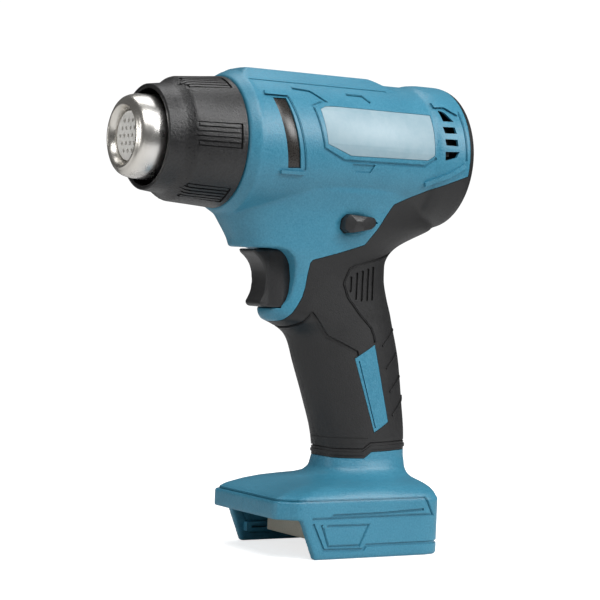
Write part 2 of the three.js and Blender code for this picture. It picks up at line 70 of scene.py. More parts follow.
NOZZLE_LOW, NOZZLE_HIGH = box_mm("nozzle")
AXIS_Z = (NOZZLE_LOW.z + NOZZLE_HIGH.z) / 2
FOOT_HALF = box_mm("housing_right")[1].y
RIDGE_TOP = box_mm("housing_right")[1].z
BARREL_REAR = box_mm("grip_left")[1].x
BARREL_FRONT = -42.0
BARREL_R = 37.0
REAR_R = 38.6
print("barrel axis", round(AXIS_Z, 2), "foot half-width", round(FOOT_HALF, 2), "rear", round(BARREL_REAR, 2))

# %% [markdown]
# ## Camera, light and floor
# The view looks at the left side from a little in front, almost level, with a long lens, so the
# barrel's circles stay nearly true. The camera is placed from turn, tilt, roll, distance and the point
# it looks at, because those five numbers can each be checked on their own.

# %% Camera
def place_camera(turn, tilt, roll, distance, target, lens):
    a, e, r = (math.radians(v) for v in (turn, tilt, roll))
    back = Vector((math.sin(a) * math.cos(e), -math.cos(a) * math.cos(e), math.sin(e)))
    right = Vector((math.cos(a), math.sin(a), 0))
    up = back.cross(right)
    rolled_right = math.cos(r) * right - math.sin(r) * up
    rolled_up = math.sin(r) * right + math.cos(r) * up
    bpy.ops.object.camera_add()
    camera = bpy.context.object
    camera.name = "camera"
    camera.data.lens = lens
    camera.data.sensor_width = 36
    camera.data.clip_start = 0.01
    turned = Matrix((rolled_right, rolled_up, back)).transposed().to_4x4()
    camera.matrix_world = Matrix.Translation(Vector(target) + distance * back) @ turned
    bpy.context.scene.camera = camera
    return camera


camera = place_camera(-32.07, 1.01, -2.33, 1.05, (0.0125, 0, 0.1319), 119.34)
print("camera at", [round(v, 3) for v in camera.matrix_world.translation])


# %% [markdown]
# A studio for products is a pale floor and a few large soft lamps. The big lamp up in front gives the
# broad light on the side of the housing, the one behind draws the top edges, and the tall strip beside
# the nozzle gives the polished steel something bright to mirror between darker bands. The floor glows
# a little for the camera alone, as a table lit from below does, so it stays white without throwing
# light up under the barrel.

# %% Floor and lamps
def make_floor():
    bpy.ops.mesh.primitive_plane_add(size=1, location=(0, 0, -0.0002))
    floor = bpy.context.object
    floor.name = "studio_floor"
    return floor


def add_lamp(name, place, target, width, height, power):
    bpy.ops.object.light_add(type="AREA", location=place)
    lamp = bpy.context.object
    lamp.name = name
    lamp.data.shape = "RECTANGLE"
    lamp.data.size = width
    lamp.data.size_y = height
    lamp.data.energy = power
    lamp.rotation_euler = (Vector(target) - Vector(place)).to_track_quat("-Z", "Y").to_euler()
    return lamp


def make_sky(seen, cast):
    """An even white sky that is brighter to the camera than as a lamp."""
    sky = bpy.data.worlds.new("studio_sky")
    bpy.context.scene.world = sky
    sky.use_nodes = True
    tree = sky.node_tree
    background = tree.nodes["Background"]
    background.inputs["Color"].default_value = (1, 1, 1, 1)
    path = tree.nodes.new("ShaderNodeLightPath")
    level = tree.nodes.new("ShaderNodeMapRange")
    level.inputs["To Min"].default_value = cast
    level.inputs["To Max"].default_value = seen
    tree.links.new(path.outputs["Is Camera Ray"], level.inputs["Value"])
    tree.links.new(level.outputs["Result"], background.inputs["Strength"])


studio_floor = make_floor()
make_sky(1.05, 0.12)
add_lamp("key_lamp", (0.95, -1.25, 0.95), (0, 0, 0.15), 0.7, 0.7, 17.5)
add_lamp("upper_lamp", (-0.15, -0.85, 1.25), (0, 0, 0.15), 1.1, 0.7, 16)
add_lamp("overhead_lamp", (0.1, 0.35, 1.3), (0, 0, 0.15), 0.9, 0.6, 5.5)
add_lamp("front_strip", (-1.2, -0.1, 0.3), (-0.05, 0, 0.2), 0.12, 0.7, 2)
bpy.context.scene.view_settings.view_transform = "Standard"

# %% [markdown]
# ## Hand tools
# A few short helpers keep every later step readable. Each one does what a person would do in the
# window: clear the selection, add a primitive, shape it in edit mode, leave edit mode.

# %% Selection and editing helpers
def deselect_all():
    if bpy.context.object and bpy.context.object.mode != "OBJECT":
        bpy.ops.object.mode_set(mode="OBJECT")
    bpy.ops.object.select_all(action="DESELECT")


def make_active(piece):
    deselect_all()
    piece.hide_set(False)
    piece.select_set(True)
    bpy.context.view_layer.objects.active = piece


def edit(piece):
    make_active(piece)
    bpy.ops.object.mode_set(mode="EDIT")


def tidy(piece, merge=0.002):
    """Merge doubled points and turn all faces outwards."""
    edit(piece)
    bpy.ops.mesh.select_all(action="SELECT")
    bpy.ops.mesh.remove_doubles(threshold=merge * MM)
    bpy.ops.mesh.dissolve_degenerate(threshold=merge * MM)
    bpy.ops.mesh.select_all(action="SELECT")
    bpy.ops.mesh.normals_make_consistent(inside=False)
    bpy.ops.object.mode_set(mode="OBJECT")
    return piece


def modify(piece, kind, **settings):
    """Add a modifier, set it and apply it."""
    make_active(piece)
    modifier = piece.modifiers.new(kind.lower(), kind)
    for key, value in settings.items():
        setattr(modifier, key, value)
    bpy.ops.object.modifier_apply(modifier=modifier.name)
    return piece


def combine(piece, other, how, keep=False):
    """Cut, join or intersect with another closed piece, which is used up unless it is kept."""
    modify(piece, "BOOLEAN", operation=how, object=other, solver="MANIFOLD")
    if not keep:
        bpy.data.objects.remove(other)
    return piece


def copy_of(piece, name):
    twin = piece.copy()
    twin.data = piece.data.copy()
    twin.name = name
    bpy.context.scene.collection.objects.link(twin)
    return twin


def join(pieces):
    deselect_all()
    for piece in pieces:
        piece.select_set(True)
    bpy.context.view_layer.objects.active = pieces[0]
    bpy.ops.object.join()
    return pieces[0]


def face_count(piece):
    return len(piece.data.polygons)


# %% [markdown]
# Three ways of making a solid cover most of this tool. A turned piece starts as a ring of points that
# is pulled into a half section and spun round the barrel's axis. A slab starts as a flat outline that
# is extruded across the tool. A stack starts as a plain column, one extrusion for each row, and every
# row is then pulled to its own section, as a potter pulls up a wall.

# %% Turned pieces, slabs and stacks
def ring_of_points(count, filled):
    deselect_all()
    bpy.ops.mesh.primitive_circle_add(vertices=count, radius=1, fill_type="NGON" if filled else "NOTHING")
    return bpy.context.object


def turned(name, profile, steps=128):
    """Spin a closed profile of (x, radius) points about the barrel's axis."""
    piece = ring_of_points(len(profile), False)
    piece.name = name
    for point, (x, radius) in zip(piece.data.vertices, profile):
        point.co = (x * MM, 0, (AXIS_Z + radius) * MM)
    edit(piece)
    bpy.ops.mesh.select_all(action="SELECT")
    bpy.ops.mesh.spin(steps=steps, angle=2 * math.pi, center=(0, 0, AXIS_Z * MM), axis=(1, 0, 0))
    bpy.ops.object.mode_set(mode="OBJECT")
    return tidy(piece)


def slab(name, outline, low, high, along="y"):
    """Extrude a flat outline along y, x or z, from low to high."""
    piece = ring_of_points(len(outline), True)
    piece.name = name
    seats = {"y": lambda a, b: (a, low, b), "x": lambda a, b: (low, a, b), "z": lambda a, b: (a, b, low)}
    seat = seats[along]
    step = {"y": (0, high - low, 0), "x": (high - low, 0, 0), "z": (0, 0, high - low)}[along]
    for point, (a, b) in zip(piece.data.vertices, outline):
        point.co = Vector(seat(a, b)) * MM
    edit(piece)
    bpy.ops.mesh.select_all(action="SELECT")
    bpy.ops.mesh.extrude_region_move(TRANSFORM_OT_translate={"value": Vector(step) * MM})
    bpy.ops.object.mode_set(mode="OBJECT")
    return tidy(piece)


def block(name, low, high):
    outline = [(low[0], low[2]), (high[0], low[2]), (high[0], high[2]), (low[0], high[2])]
    return slab(name, outline, low[1], high[1])


def stack(name, around, rows, section):
    """Extrude a column of rows, then place each point by section(row, angle)."""
    piece = ring_of_points(around, True)
    piece.name = name
    edit(piece)
    bpy.ops.mesh.select_all(action="SELECT")
    for _ in range(rows - 1):
        bpy.ops.mesh.extrude_region_move(TRANSFORM_OT_translate={"value": (0, 0, 1)})
    bpy.ops.object.mode_set(mode="OBJECT")
    for point in piece.data.vertices:
        angle = math.atan2(point.co.y, point.co.x)
        point.co = Vector(section(round(point.co.z), angle)) * MM
    return tidy(piece)


def round_corners(outline, radius, steps=4):
    """Replace each corner of an outline by a short arc."""
    rounded = []
    count = len(outline)
    for i, corner in enumerate(outline):
        here = Vector(corner)
        before = Vector(outline[i - 1]) - here
        after = Vector(outline[(i + 1) % count]) - here
        reach = min(radius, before.length * 0.45, after.length * 0.45)
        start = here + before.normalized() * reach
        end = here + after.normalized() * reach
        for k in range(steps + 1):
            t = k / steps
            rounded.append(tuple((1 - t) ** 2 * start + 2 * t * (1 - t) * here + t * t * end))
    return rounded


def ribbon(points, width):
    """The outline of a narrow band that follows an open line, for cutting a groove."""
    left, right = [], []
    for i, place in enumerate(points):
        here = Vector(place)
        before = (here - Vector(points[i - 1])).normalized() if i else None
        after = (Vector(points[i + 1]) - here).normalized() if i + 1 < len(points) else None
        before = before or after
        after = after or before
        normal = Vector((-(before + after).y, (before + after).x)).normalized()
        reach = width / 2 / max(0.35, normal.dot(Vector((-before.y, before.x))))
        left.append(tuple(here + normal * reach))
        right.append(tuple(here - normal * reach))
    return left + right[::-1]


# %% [markdown]
# ## The moulded form
# The housing is one flowing shape: a barrel, a ridge on top, a handle that leans forward and a foot.
# On the real tool it is one cavity in a mould, and its inner corners are rounded so that the plastic
# flows. It could be drawn as a cage under a subdivision modifier, but a cage of this many branches is
# hard to keep even. Here simple solids overlap, a voxel remesh melts them into one skin, and a smooth
# modifier rounds the places where they meet, which is just what the mould's fillets look like.

# %% Sections of the handle and lower body
# Height, front, rear, half-width, squareness. Two is an ellipse; more is boxier.
BODY_LEVELS = [
    (28, 26, 80, 21, 2.3), (44, 26.4, 79.4, 19.2, 2.3), (50, 26.5, 79.1, 18.8, 2.2),
    (60, 25.2, 79, 18.5, 2.2), (80, 18.8, 76.8, 18.5, 2.2), (100, 11.3, 74.1, 18.5, 2.2),
    (110, 7.8, 71.8, 18.5, 2.2), (115, 4.4, 70.4, 18.5, 2.2), (119, -2.5, 69.2, 18.6, 2.3),
    (122, -9.2, 68.2, 18.7, 2.4), (126, -10.9, 66.9, 18.8, 2.5), (135, -11, 63.8, 19, 2.5),
    (145, -14, 61.4, 19.4, 2.6), (152, -23, 61.6, 20.4, 2.5), (158, -29.4, 64.6, 21.8, 2.4),
    (162.5, -31, 70, 22.8, 2.4), (167.5, -34, 80.4, 24.1, 2.4), (172.5, -37.4, 91, 25.3, 2.4),
    (178, -40.4, 94, 26.6, 2.4), (190, -41.2, 94.4, 31, 2.6),
]
print("the handle is", BODY_LEVELS[4][2] - BODY_LEVELS[4][1], "mm deep at", BODY_LEVELS[4][0], "mm")


def smooth_row(levels, z):
    """Read a table of levels at any height, on a curve with no overshoot."""
    for i in range(len(levels) - 1):
        low, high = levels[i], levels[i + 1]
        if low[0] <= z <= high[0]:
            break
    before = levels[max(i - 1, 0)]
    after = levels[min(i + 2, len(levels) - 1)]
    span = high[0] - low[0]
    t = (z - low[0]) / span
    row = []
    for k in range(1, len(low)):
        rise = (high[k] - low[k]) / span
        rise_before = (low[k] - before[k]) / (low[0] - before[0]) if before is not low else rise
        rise_after = (after[k] - high[k]) / (after[0] - high[0]) if after is not high else rise
        m0 = 0 if rise * rise_before <= 0 else 2 * rise * rise_before / (rise + rise_before)
        m1 = 0 if rise * rise_after <= 0 else 2 * rise * rise_after / (rise + rise_after)
        h00, h10 = 2 * t**3 - 3 * t**2 + 1, t**3 - 2 * t**2 + t
        row.append(h00 * low[k] + h10 * span * m0 + (1 - h00) * high[k] + (t**3 - t**2) * span * m1)
    return row


def superellipse(front, rear, half, square, angle, z):
    c, s = math.cos(angle), math.sin(angle)
    x = (front + rear) / 2 + (rear - front) / 2 * math.copysign(abs(c) ** (2 / square), c)
    return (x, half * math.copysign(abs(s) ** (2 / square), s), z)


def handle_stack(name):
    low, high = BODY_LEVELS[0][0], BODY_LEVELS[-1][0]
    rows = 72

    def section(row, angle):
        z = low + (high - low) * row / (rows - 1)
        return superellipse(*smooth_row(BODY_LEVELS, z), angle, z)

    return stack(name, 72, rows, section)


# %% [markdown]
# The barrel is a turned piece that swells a little at the rear, where the fan and its air intake are.
# The ridge along the top is a prism seen from the end, crossed with a prism seen from the side. Crossing
# two outlines gives a faceted block with both shapes exact.

# %% Barrel and ridge
RIDGE_SIDE = [
    (-36, 225), (-36, 246), (-34, 249), (-30.6, RIDGE_TOP), (43.5, RIDGE_TOP - 0.2), (47, 249.6),
    (52, 247), (60, 240), (60, 225),
]
RIDGE_END = [(-18, 225), (18, 225), (18, 244.2), (9, 250.5), (0, RIDGE_TOP), (-9, 250.5), (-18, 244.2)]
print("the ridge stands", round(RIDGE_TOP - AXIS_Z - BARREL_R, 2), "mm above the barrel")


def barrel_solid(name):
    return turned(name, [
        (BARREL_FRONT, 0), (BARREL_FRONT, 34.4), (-36.6, 37.5), (-34.5, BARREL_R), (70.6, BARREL_R),
        (73, BARREL_R + 1), (78, REAR_R), (91, REAR_R), (94.3, REAR_R - 0.9), (BARREL_REAR, REAR_R - 3.4),
        (BARREL_REAR, 0),
    ])


def ridge_solid(name):
    crown = slab(name, RIDGE_END, BARREL_FRONT, 70, along="x")
    return combine(crown, slab("ridge_side", RIDGE_SIDE, -40, 40), "INTERSECT")


# %% [markdown]
# The foot spreads from the handle into a flat box for the battery. Its plan has a tapered nose, and
# higher up the plan turns step by step into the handle's oval, so the two flow together.

# %% Foot
FOOT_PLAN = [
    (-17.5, 0), (-17.5, 31), (-7, 39), (74, 39), (79.8, 37.4), (83.2, 33.6), (84.5, 28), (84.5, 0),
]
DRAWN_HALF = max(y for x, y in FOOT_PLAN)
FOOT_PLAN = [(x, y * FOOT_HALF / DRAWN_HALF) for x, y in FOOT_PLAN]
print("the foot is", FOOT_PLAN[-1][0] - FOOT_PLAN[0][0], "mm long")
# Height, front, rear, half-width, and how far the plan has turned into the handle's ellipse.
FOOT_LEVELS = [
    (0, -17.2, 84.2, 38.7, 0), (0.6, -17.5, 84.5, 39, 0), (29.7, -17.5, 84.5, 39, 0),
    (30.2, -16.4, 84, 38.4, 0),
    (32.5, -12.8, 83.6, 37.6, 0.05), (34.6, -6, 82.9, 36.2, 0.15), (36.4, 2, 81.9, 34, 0.3),
    (37.8, 11, 81, 30.6, 0.5), (39, 18.5, 80.4, 26.4, 0.75), (40.6, 23, 79.9, 22.8, 0.9),
    (43.5, 25.6, 79.5, 20.2, 1), (48, 26.4, 79.2, 19, 1),
]


def plan_reach(angle, centre):
    """Distance from the plan's centre to its edge in one direction."""
    direction = Vector((math.cos(angle), abs(math.sin(angle))))
    for (ax, ay), (bx, by) in zip(FOOT_PLAN, FOOT_PLAN[1:]):
        edge = Vector((bx - ax, by - ay))
        start = Vector((ax - centre, ay))
        across = direction.x * edge.y - direction.y * edge.x
        if abs(across) < 1e-9:
            continue
        reach = (start.x * edge.y - start.y * edge.x) / across
        along = (start.x * direction.y - start.y * direction.x) / across
        if reach > 0 and -1e-6 <= along <= 1 + 1e-6:
            return reach
    raise ValueError("the plan is open")


def foot_solid(name):
    front_x, rear_x, half_y = FOOT_PLAN[0][0], FOOT_PLAN[-1][0], FOOT_HALF
    centre = (front_x + rear_x) / 2

    def section(row, angle):
        z, front, rear, half, melt = FOOT_LEVELS[row]
        reach = plan_reach(angle, centre)
        plan_x = (reach * math.cos(angle)) / ((rear_x - front_x) / 2)
        plan_y = (reach * math.sin(angle)) / half_y
        plain = Vector(((front + rear) / 2 + plan_x * (rear - front) / 2, plan_y * half, z))
        oval = Vector(superellipse(front, rear, half, 2.3, angle, z))
        return plain.lerp(oval, melt)

    return stack(name, 144, len(FOOT_LEVELS), section)


# %% [markdown]
# The four solids overlap by a few millimetres. The remesh keeps only the outer skin of the group and
# lays an even net of faces over it, which is what the later cuts and the smoothing need.

# %% Melt the solids together
VOXEL = 0.8


form = join([
    barrel_solid("barrel"), ridge_solid("ridge"), handle_stack("handle"), foot_solid("foot"),
])
form.name = "form"
modify(form, "REMESH", mode="VOXEL", voxel_size=VOXEL * MM)
print("melted form:", face_count(form), "faces")

# %% [markdown]
# The opening round the trigger and the battery bay are cut before the form is smoothed, so that their
# edges come out rounded, as a mould leaves them. A shallow dish on each side gives the finger room to
# press the lock.

# %% Trigger opening and battery bay
POCKET_FLOOR, POCKET_TOP = 127.3, 158.5
RECESS = [
    (-60, POCKET_TOP), (-12, POCKET_TOP), (-7.4, 157.4), (-4.2, 154.6), (-2.2, 150.5), (-1.2, 143),
    (-1.8, 136), (-3.4, 131.4), (-6.2, 128.6), (-9.5, POCKET_FLOOR), (-60, POCKET_FLOOR),
]
BAY_TOP = 20.5
combine(form, slab("recess", RECESS, -45, 45), "DIFFERENCE")
SKIRT_FRONT = [(-40, -2), (4.3, -2), (-5, BAY_TOP), (-40, BAY_TOP)]
combine(form, slab("skirt_front", SKIRT_FRONT, -45, 45), "DIFFERENCE")
combine(form, block("bay", (-40, -34.5, -2), (79.5, 34.5, BAY_TOP)), "DIFFERENCE")
DISH_CENTRE, DISH_REACH = (28, 29.2, 170.5), (17, 6, 8.5)
for side in (-1, 1):
    x, y, z = DISH_CENTRE
    deselect_all()
    bpy.ops.mesh.primitive_uv_sphere_add(
        segments=48, ring_count=24, radius=MM, location=(x * MM, side * y * MM, z * MM))
    dish = bpy.context.object
    dish.scale = DISH_REACH
    bpy.ops.object.transform_apply(location=True, rotation=True, scale=True)
    combine(form, dish, "DIFFERENCE")
modify(form, "REMESH", mode="VOXEL", voxel_size=VOXEL * MM)
modify(form, "SMOOTH", factor=0.5, iterations=6)
print("smoothed form:", face_count(form), "faces")

# %% [markdown]
# ## Cutting the skin
# Lines, recesses and ledges follow the curved skin at one depth. A flat-bottomed cut could be made with
# a shrinkwrapped cage, but here each line is a prism through the tool from which a copy of the form,
# pushed in by the depth, is taken away. What is left of the prism is a thin strip that lies just under
# the skin, and that strip is the cutter. A raised ledge is made the same way with a copy pushed out.

# %% Helpers for the skin
def pushed(piece, name, distance):
    """A copy of a closed piece with its skin moved out, or in when the distance is negative."""
    twin = copy_of(piece, name)
    return modify(twin, "DISPLACE", strength=distance * MM, mid_level=0, direction="NORMAL")


def united(pieces):
    whole = pieces[0]
    for other in pieces[1:]:
        combine(whole, other, "UNION")
    return whole


def cut_away(body, cutters):
    """Cut several shapes out of the body in one go."""
    combine(body, united(cutters), "DIFFERENCE")


def engrave(body, cutters, core):
    """Cut shapes out of the body, no deeper than the core."""
    cutter = united(cutters)
    combine(cutter, core, "DIFFERENCE", keep=True)
    combine(body, cutter, "DIFFERENCE")


def raise_up(body, shapes, shell):
    """Raise shapes from the body, no higher than the shell."""
    shape = united(shapes)
    combine(shape, shell, "INTERSECT", keep=True)
    combine(body, shape, "UNION")


def through(outline, near=-46, far=46):
    return slab("prism", outline, near, far)


def lines(paths, width):
    """Prisms that follow open lines in the side view, through both sides of the tool."""
    return [through(ribbon(path, width)) for path in paths]


def pin(x, z, radius, low, high, corners=40):
    """A round bar across the tool."""
    deselect_all()
    bpy.ops.mesh.primitive_cylinder_add(
        vertices=corners, radius=radius * MM, depth=(high - low) * MM,
        location=(x * MM, (low + high) / 2 * MM, z * MM), rotation=(math.pi / 2, 0, 0))
    bpy.ops.object.transform_apply(location=True, rotation=True, scale=True)
    return bpy.context.object


core_faint = pushed(form, "core_faint", -0.28)
core_line = pushed(form, "core_line", -0.8)
core_deep = pushed(form, "core_deep", -1.1)
shell_high = pushed(form, "shell_high", 0.55)
shell_tall = pushed(form, "shell_tall", 1.3)
WIDEST = FOOT_HALF - 0.1
for shell in (shell_high, shell_tall):
    combine(shell, block("width_limit", (-120, -WIDEST, -5), (120, WIDEST, 270)), "INTERSECT")
print("cores and shells:", face_count(core_line), "and", face_count(shell_high), "faces")

# %% [markdown]
# The soft grip is moulded over the hard plastic, so the hard plastic runs on underneath it at a lower
# level. The same form pushed in by the grip's thickness gives that lower level, and pushed in further
# it gives the hollow. Both are remeshed, because pushing in folds the skin over at sharp edges. Below
# the bay's roof the walls are too thin to be hollow, so the hollow stops above it.

# %% Lower level and hollow
def lower_level(name, depth, voxel):
    inner = pushed(form, name, -depth)
    return modify(inner, "REMESH", mode="VOXEL", voxel_size=voxel * MM)


under_grip = lower_level("under_grip", 1.7, 2.2)
hollow = lower_level("hollow", 3.1, 2.2)
SCREW_PLACES = [
    (-24, 243.5), (74, 240.5), (-23, 169), (62, 172), (22, 112), (56, 78), (-6, 27.5), (72.5, 27.5),
]
cut_away(hollow, [
    block("below_the_roof", (-60, -60, -10), (120, 60, BAY_TOP + 2.6)),
    *[pin(x, z, 5.6, -46, 46, 24) for x, z in SCREW_PLACES],
])
print("hollow:", face_count(hollow), "faces")

# %% [markdown]
# ## Regions of the side view
# The grip's edge, the blue insert in it and the plates are outlines in the side view. Every gap between
# two materials is a real gap, about a quarter of a millimetre, because that is what makes the thin dark
# line between them.

# %% Outlines
GRIP = [
    (110, 262), (91.8, 262), (91.8, 201), (70, 192.6), (51, 184), (43.8, 171), (37.6, 162.2), (22, 157.4),
    (6.8, 153.2), (5.6, 151.6), (5.2, 146), (4.6, 138.4), (3.6, 134), (1.7, 129.8), (-1.2, 124.8),
    (-4, 121.7), (-6.8, 119.8), (-10, 118.8), (-14, 118.3), (-30, 118.2), (-30, 52), (12, 52), (30, 49.4),
    (45, 49.4), (49.5, 52.8), (66, 53.4), (110, 53.4),
]
INSERT = [(36.8, 102.2), (49.2, 109.6), (59.8, 68.6), (50.8, 63.2)]
PLATE = [
    (0.3, 230.3), (4, 232), (10, 232.4), (69.6, 232.2), (69.6, 210.6), (65.4, 207.9), (17.2, 207.3),
    (2.7, 212.5),
]
TRIM = [(-26.8, 234.3), (-18.9, 234.5), (-12, 199.3), (-19.6, 199)]
LOCK = [(20.5, 170), (23, 168), (37, 170.5), (42.5, 174), (38.5, 176.5), (22.5, 177.5), (20.5, 175)]
VENTS = [
    [(74.9, 235.3), (78.2, 234.6), (83, 229.6), (76, 229.4)],
    [(75, 226.4), (82.7, 226.6), (83.4, 223.2), (75.8, 223)],
    [(75.4, 219.9), (83.4, 220), (83.8, 216.5), (76, 216.6)],
    [(75.4, 213.2), (84.4, 213.6), (82.6, 210.4), (75.6, 208.4)],
]
FRAME_LINE = [
    (-12.3, 239.9), (-2, 239.2), (4.6, 234.6), (-3.9, 231.5), (0.4, 210), (13.3, 204.5), (63.6, 204.7),
    (70.7, 209.4),
]


def grown(outline, amount):
    """Move every edge of an outline outwards by an amount, or inwards when it is negative."""
    count = len(outline)
    area = sum(a[0] * b[1] - b[0] * a[1] for a, b in zip(outline, outline[1:] + outline[:1]))
    side = 1 if area > 0 else -1
    moved = []
    for i in range(count):
        here = Vector(outline[i])
        before = (here - Vector(outline[i - 1])).normalized()
        after = (Vector(outline[(i + 1) % count]) - here).normalized()
        normal = (Vector((before.y, -before.x)) + Vector((after.y, -after.x))) * side
        normal.normalize()
        reach = amount / max(0.4, normal.dot(Vector((before.y, -before.x)) * side))
        moved.append(tuple(here + normal * reach))
    return moved


print("grip outline:", len(GRIP), "points, air vents:", len(VENTS))

# %% [markdown]
# ## Soft grip
# The grip is a rubbery layer injected round the hard halves. Its pattern is there for the hand: a pad
# for the thumb with short grooves, creases where the palm bends, and ribs across the back.

# %% Grip
SEAM = 0.12
grip = copy_of(form, "grip")
combine(grip, through(grown(GRIP, -0.14)), "INTERSECT")
combine(grip, through(grown(INSERT, 0.2)), "DIFFERENCE")
THICK_CREASE = [(9, 126), (20, 113.5), (37.6, 105.6), (38.4, 103.5)]
PAD_EDGE = [
    (62, 158.6), (53, 156), (33, 151.2), (30, 149.6), (27.2, 143), (27, 141), (30, 134), (38, 125.5),
    (46.4, 118), (48.4, 114), (49, 110.8),
]
LIP_CREASE = [(-16, 116.2), (-7, 116.2), (0, 117.3), (5, 120.6), (9, 126)]
PAD_GROOVES = [
    [(31.5, 137), (31.5, 145.5)], [(35.2, 133.2), (35.2, 147.6)], [(39, 132.4), (39, 148.8)],
    [(42.8, 132.6), (42.8, 150)], [(46.5, 133), (46.5, 151)],
]
engrave(grip, lines([THICK_CREASE, PAD_EDGE, LIP_CREASE], 2.1), core_faint)
engrave(grip, lines([THICK_CREASE], 1.6) + lines([PAD_EDGE, LIP_CREASE], 0.9), core_line)
engrave(grip, [through(round_corners(ribbon(path, 1.7), 0.8)) for path in PAD_GROOVES], core_line)
BACK_RIBS = [[(55, 109), (66, 118)], [(58, 97), (68, 105.5)], [(61, 84.5), (71, 93)], [(63, 72), (75, 82)]]
raise_up(grip, lines(BACK_RIBS, 1.1), shell_high)
RING_LOW = [(-30, 54.4), (12, 54.2), (30, 51.8), (44, 51.8), (48.4, 55), (66, 55.6), (100, 55.6)]
RING_HIGH = [(x, z + 2.6) for x, z in RING_LOW]
raise_up(grip, lines([RING_LOW], 1.6), shell_high)
engrave(grip, lines([RING_HIGH], 0.7), core_line)
engrave(grip, lines([[(10, 61), (20, 60.2), (47, 60)]], 0.5), core_faint)
combine(grip, under_grip, "DIFFERENCE", keep=True)
REAR_SEAT = [(88, 0), (88, 30), (90.5, 30), (90.5, 28.6), (99, 28.6), (99, 0)]
combine(grip, turned("rear_seat", REAR_SEAT), "DIFFERENCE")
print("grip:", face_count(grip), "faces")

# %% [markdown]
# ## Hard housing
# The hard plastic keeps the skin everywhere outside the grip. Its ledges and grooves are styling that
# also stiffens the wall: a long groove frames the plate, ledges cap the slot behind the collar, and the
# foot has a belt groove and a sunk panel on each side.

# %% Housing skin
housing = copy_of(form, "housing")
ledges = [
    through([(-31.5, 235.9), (-17.4, 236), (-16.8, 237.7), (-30.9, 237.6)]),
    through([(-23.4, 195.9), (-9.2, 195.9), (-9.6, 197.6), (-23.8, 197.6)]),
]
raise_up(housing, ledges, shell_tall)
VENT_BEAD_TOP = [(72.6, 238), (79, 238.4), (86.4, 234.4)]
VENT_BEAD_LOW = [(88.4, 206.4), (79.5, 201), (66, 195.2)]
raise_up(housing, lines([VENT_BEAD_TOP, VENT_BEAD_LOW], 2.4), shell_tall)
SLOT_LINE = [(-17.4, 235.2), (-14.2, 222), (-11.3, 208.5), (-9.1, 198.4)]
NOTCH_TOP = [(20.4, 239.2), (30.1, 239.1), (33.4, 235.9)]
NOTCH_LOW = [(18.4, 203.4), (32.8, 203.6), (30.6, 199.4), (21, 199.1)]
VENT_LINE = [(87.6, 235.6), (88.4, 226), (88.9, 209)]
RIDGE_LINE = [(-35, 243.4), (49, 243.4)]
channels = lines([FRAME_LINE, SLOT_LINE, NOTCH_TOP, VENT_LINE], 1.9)
engrave(housing, channels + lines([RIDGE_LINE], 0.8), core_faint)
engrave(housing, lines([FRAME_LINE, VENT_LINE], 1.1) + lines([SLOT_LINE, NOTCH_TOP], 0.8), core_line)
engrave(housing, [through(NOTCH_LOW)], core_line)
engrave(housing, [through(grown(PLATE, 0.1))], core_line)
print("housing with its skin lines:", face_count(housing), "faces")

# %% [markdown]
# The belt groove marks where the battery's own shell meets the foot. It has a wide faint channel with
# a narrow deep line in it, because a single sharp cut would look drawn on instead of moulded.

# %% Foot lines
BELT = [(-30, 30), (71.4, 30), (76.4, 21.4), (1, 21)]
BELT_SLIT = [(13, 22.7), (45, 23), (70.5, 24.2)]
PANEL_OUTER = [(1.5, 18.6), (8.4, 4.9), (33, 4.5), (34.4, 6.4)]
PANEL_INNER = [(7, 17.3), (35.4, 17), (30.2, 6.7), (11, 6.7), (7, 17.3), (10, 17.27)]
SKIRT_LINE = [(34, 6.6), (100, 6.6)]
engrave(housing, lines([BELT, PANEL_OUTER, PANEL_INNER, SKIRT_LINE], 1.8), core_faint)
engrave(housing, lines([BELT, PANEL_INNER], 0.8), core_line)
engrave(housing, lines([PANEL_OUTER, SKIRT_LINE, BELT_SLIT], 1.3), core_line)
print("housing with its foot lines:", face_count(housing), "faces")

# %% [markdown]
# Now the openings go through the wall: the slot for the side trim, the air vents and the lock. The blue
# insert in the grip is part of the hard housing, so it is added back here. The spigot that carries the
# collar and the rails for the battery are added last, because they stand clear of the skin.

# %% Openings in the housing
slot = through(TRIM)
combine(slot, turned("slot_core", [(-60, 0), (-60, 35), (20, 35), (20, 0)]), "DIFFERENCE")
cut_away(housing, [through(grown(GRIP, 0.14)), slot, through(grown(LOCK, 0.35)), *map(through, VENTS)])
insert = copy_of(form, "insert")
combine(insert, through(INSERT), "INTERSECT")
engrave(insert, lines([[(39.4, 101), (51.4, 65.4)]], 0.7), core_line)
combine(insert, core_deep, "DIFFERENCE", keep=True)
combine(housing, under_grip, "UNION", keep=True)
combine(housing, insert, "UNION")
combine(housing, hollow, "DIFFERENCE", keep=True)
thin_wall = turned("thin_wall", [(73.6, 30), (73.6, 36.9), (86.2, 36.9), (86.2, 30)])
combine(thin_wall, block("vent_zone", (70, -60, 206), (90, 60, 238)), "INTERSECT")
cut_away(housing, [
    thin_wall,
    block("terminal_room", (17.7, -20.3, 7), (48.3, 20.3, 27)),
    block("trigger_way", (-20, -11.3, 127.6), (6, 11.3, 158.2)),
    turned("rear_opening", [(89.4, 0), (89.4, 28.4), (99, 28.4), (99, 0)]),
    turned("front_opening", [(-50, 0), (-50, 27.4), (-36, 27.4), (-36, 0)]),
])
SPIGOT_R = 29.4
spigot = turned("spigot", [
    (-41.2, 27.4), (-41.2, SPIGOT_R), (-45.4, SPIGOT_R), (-45.4, 27.9), (-48.4, 27.9), (-48.4, SPIGOT_R),
    (-50, SPIGOT_R), (-50, 27.4),
])
rails = [block("rail", (4, -34.8, 5.6), (79.8, -31, 10.6)), block("rail", (4, 31, 5.6), (79.8, 34.8, 10.6))]
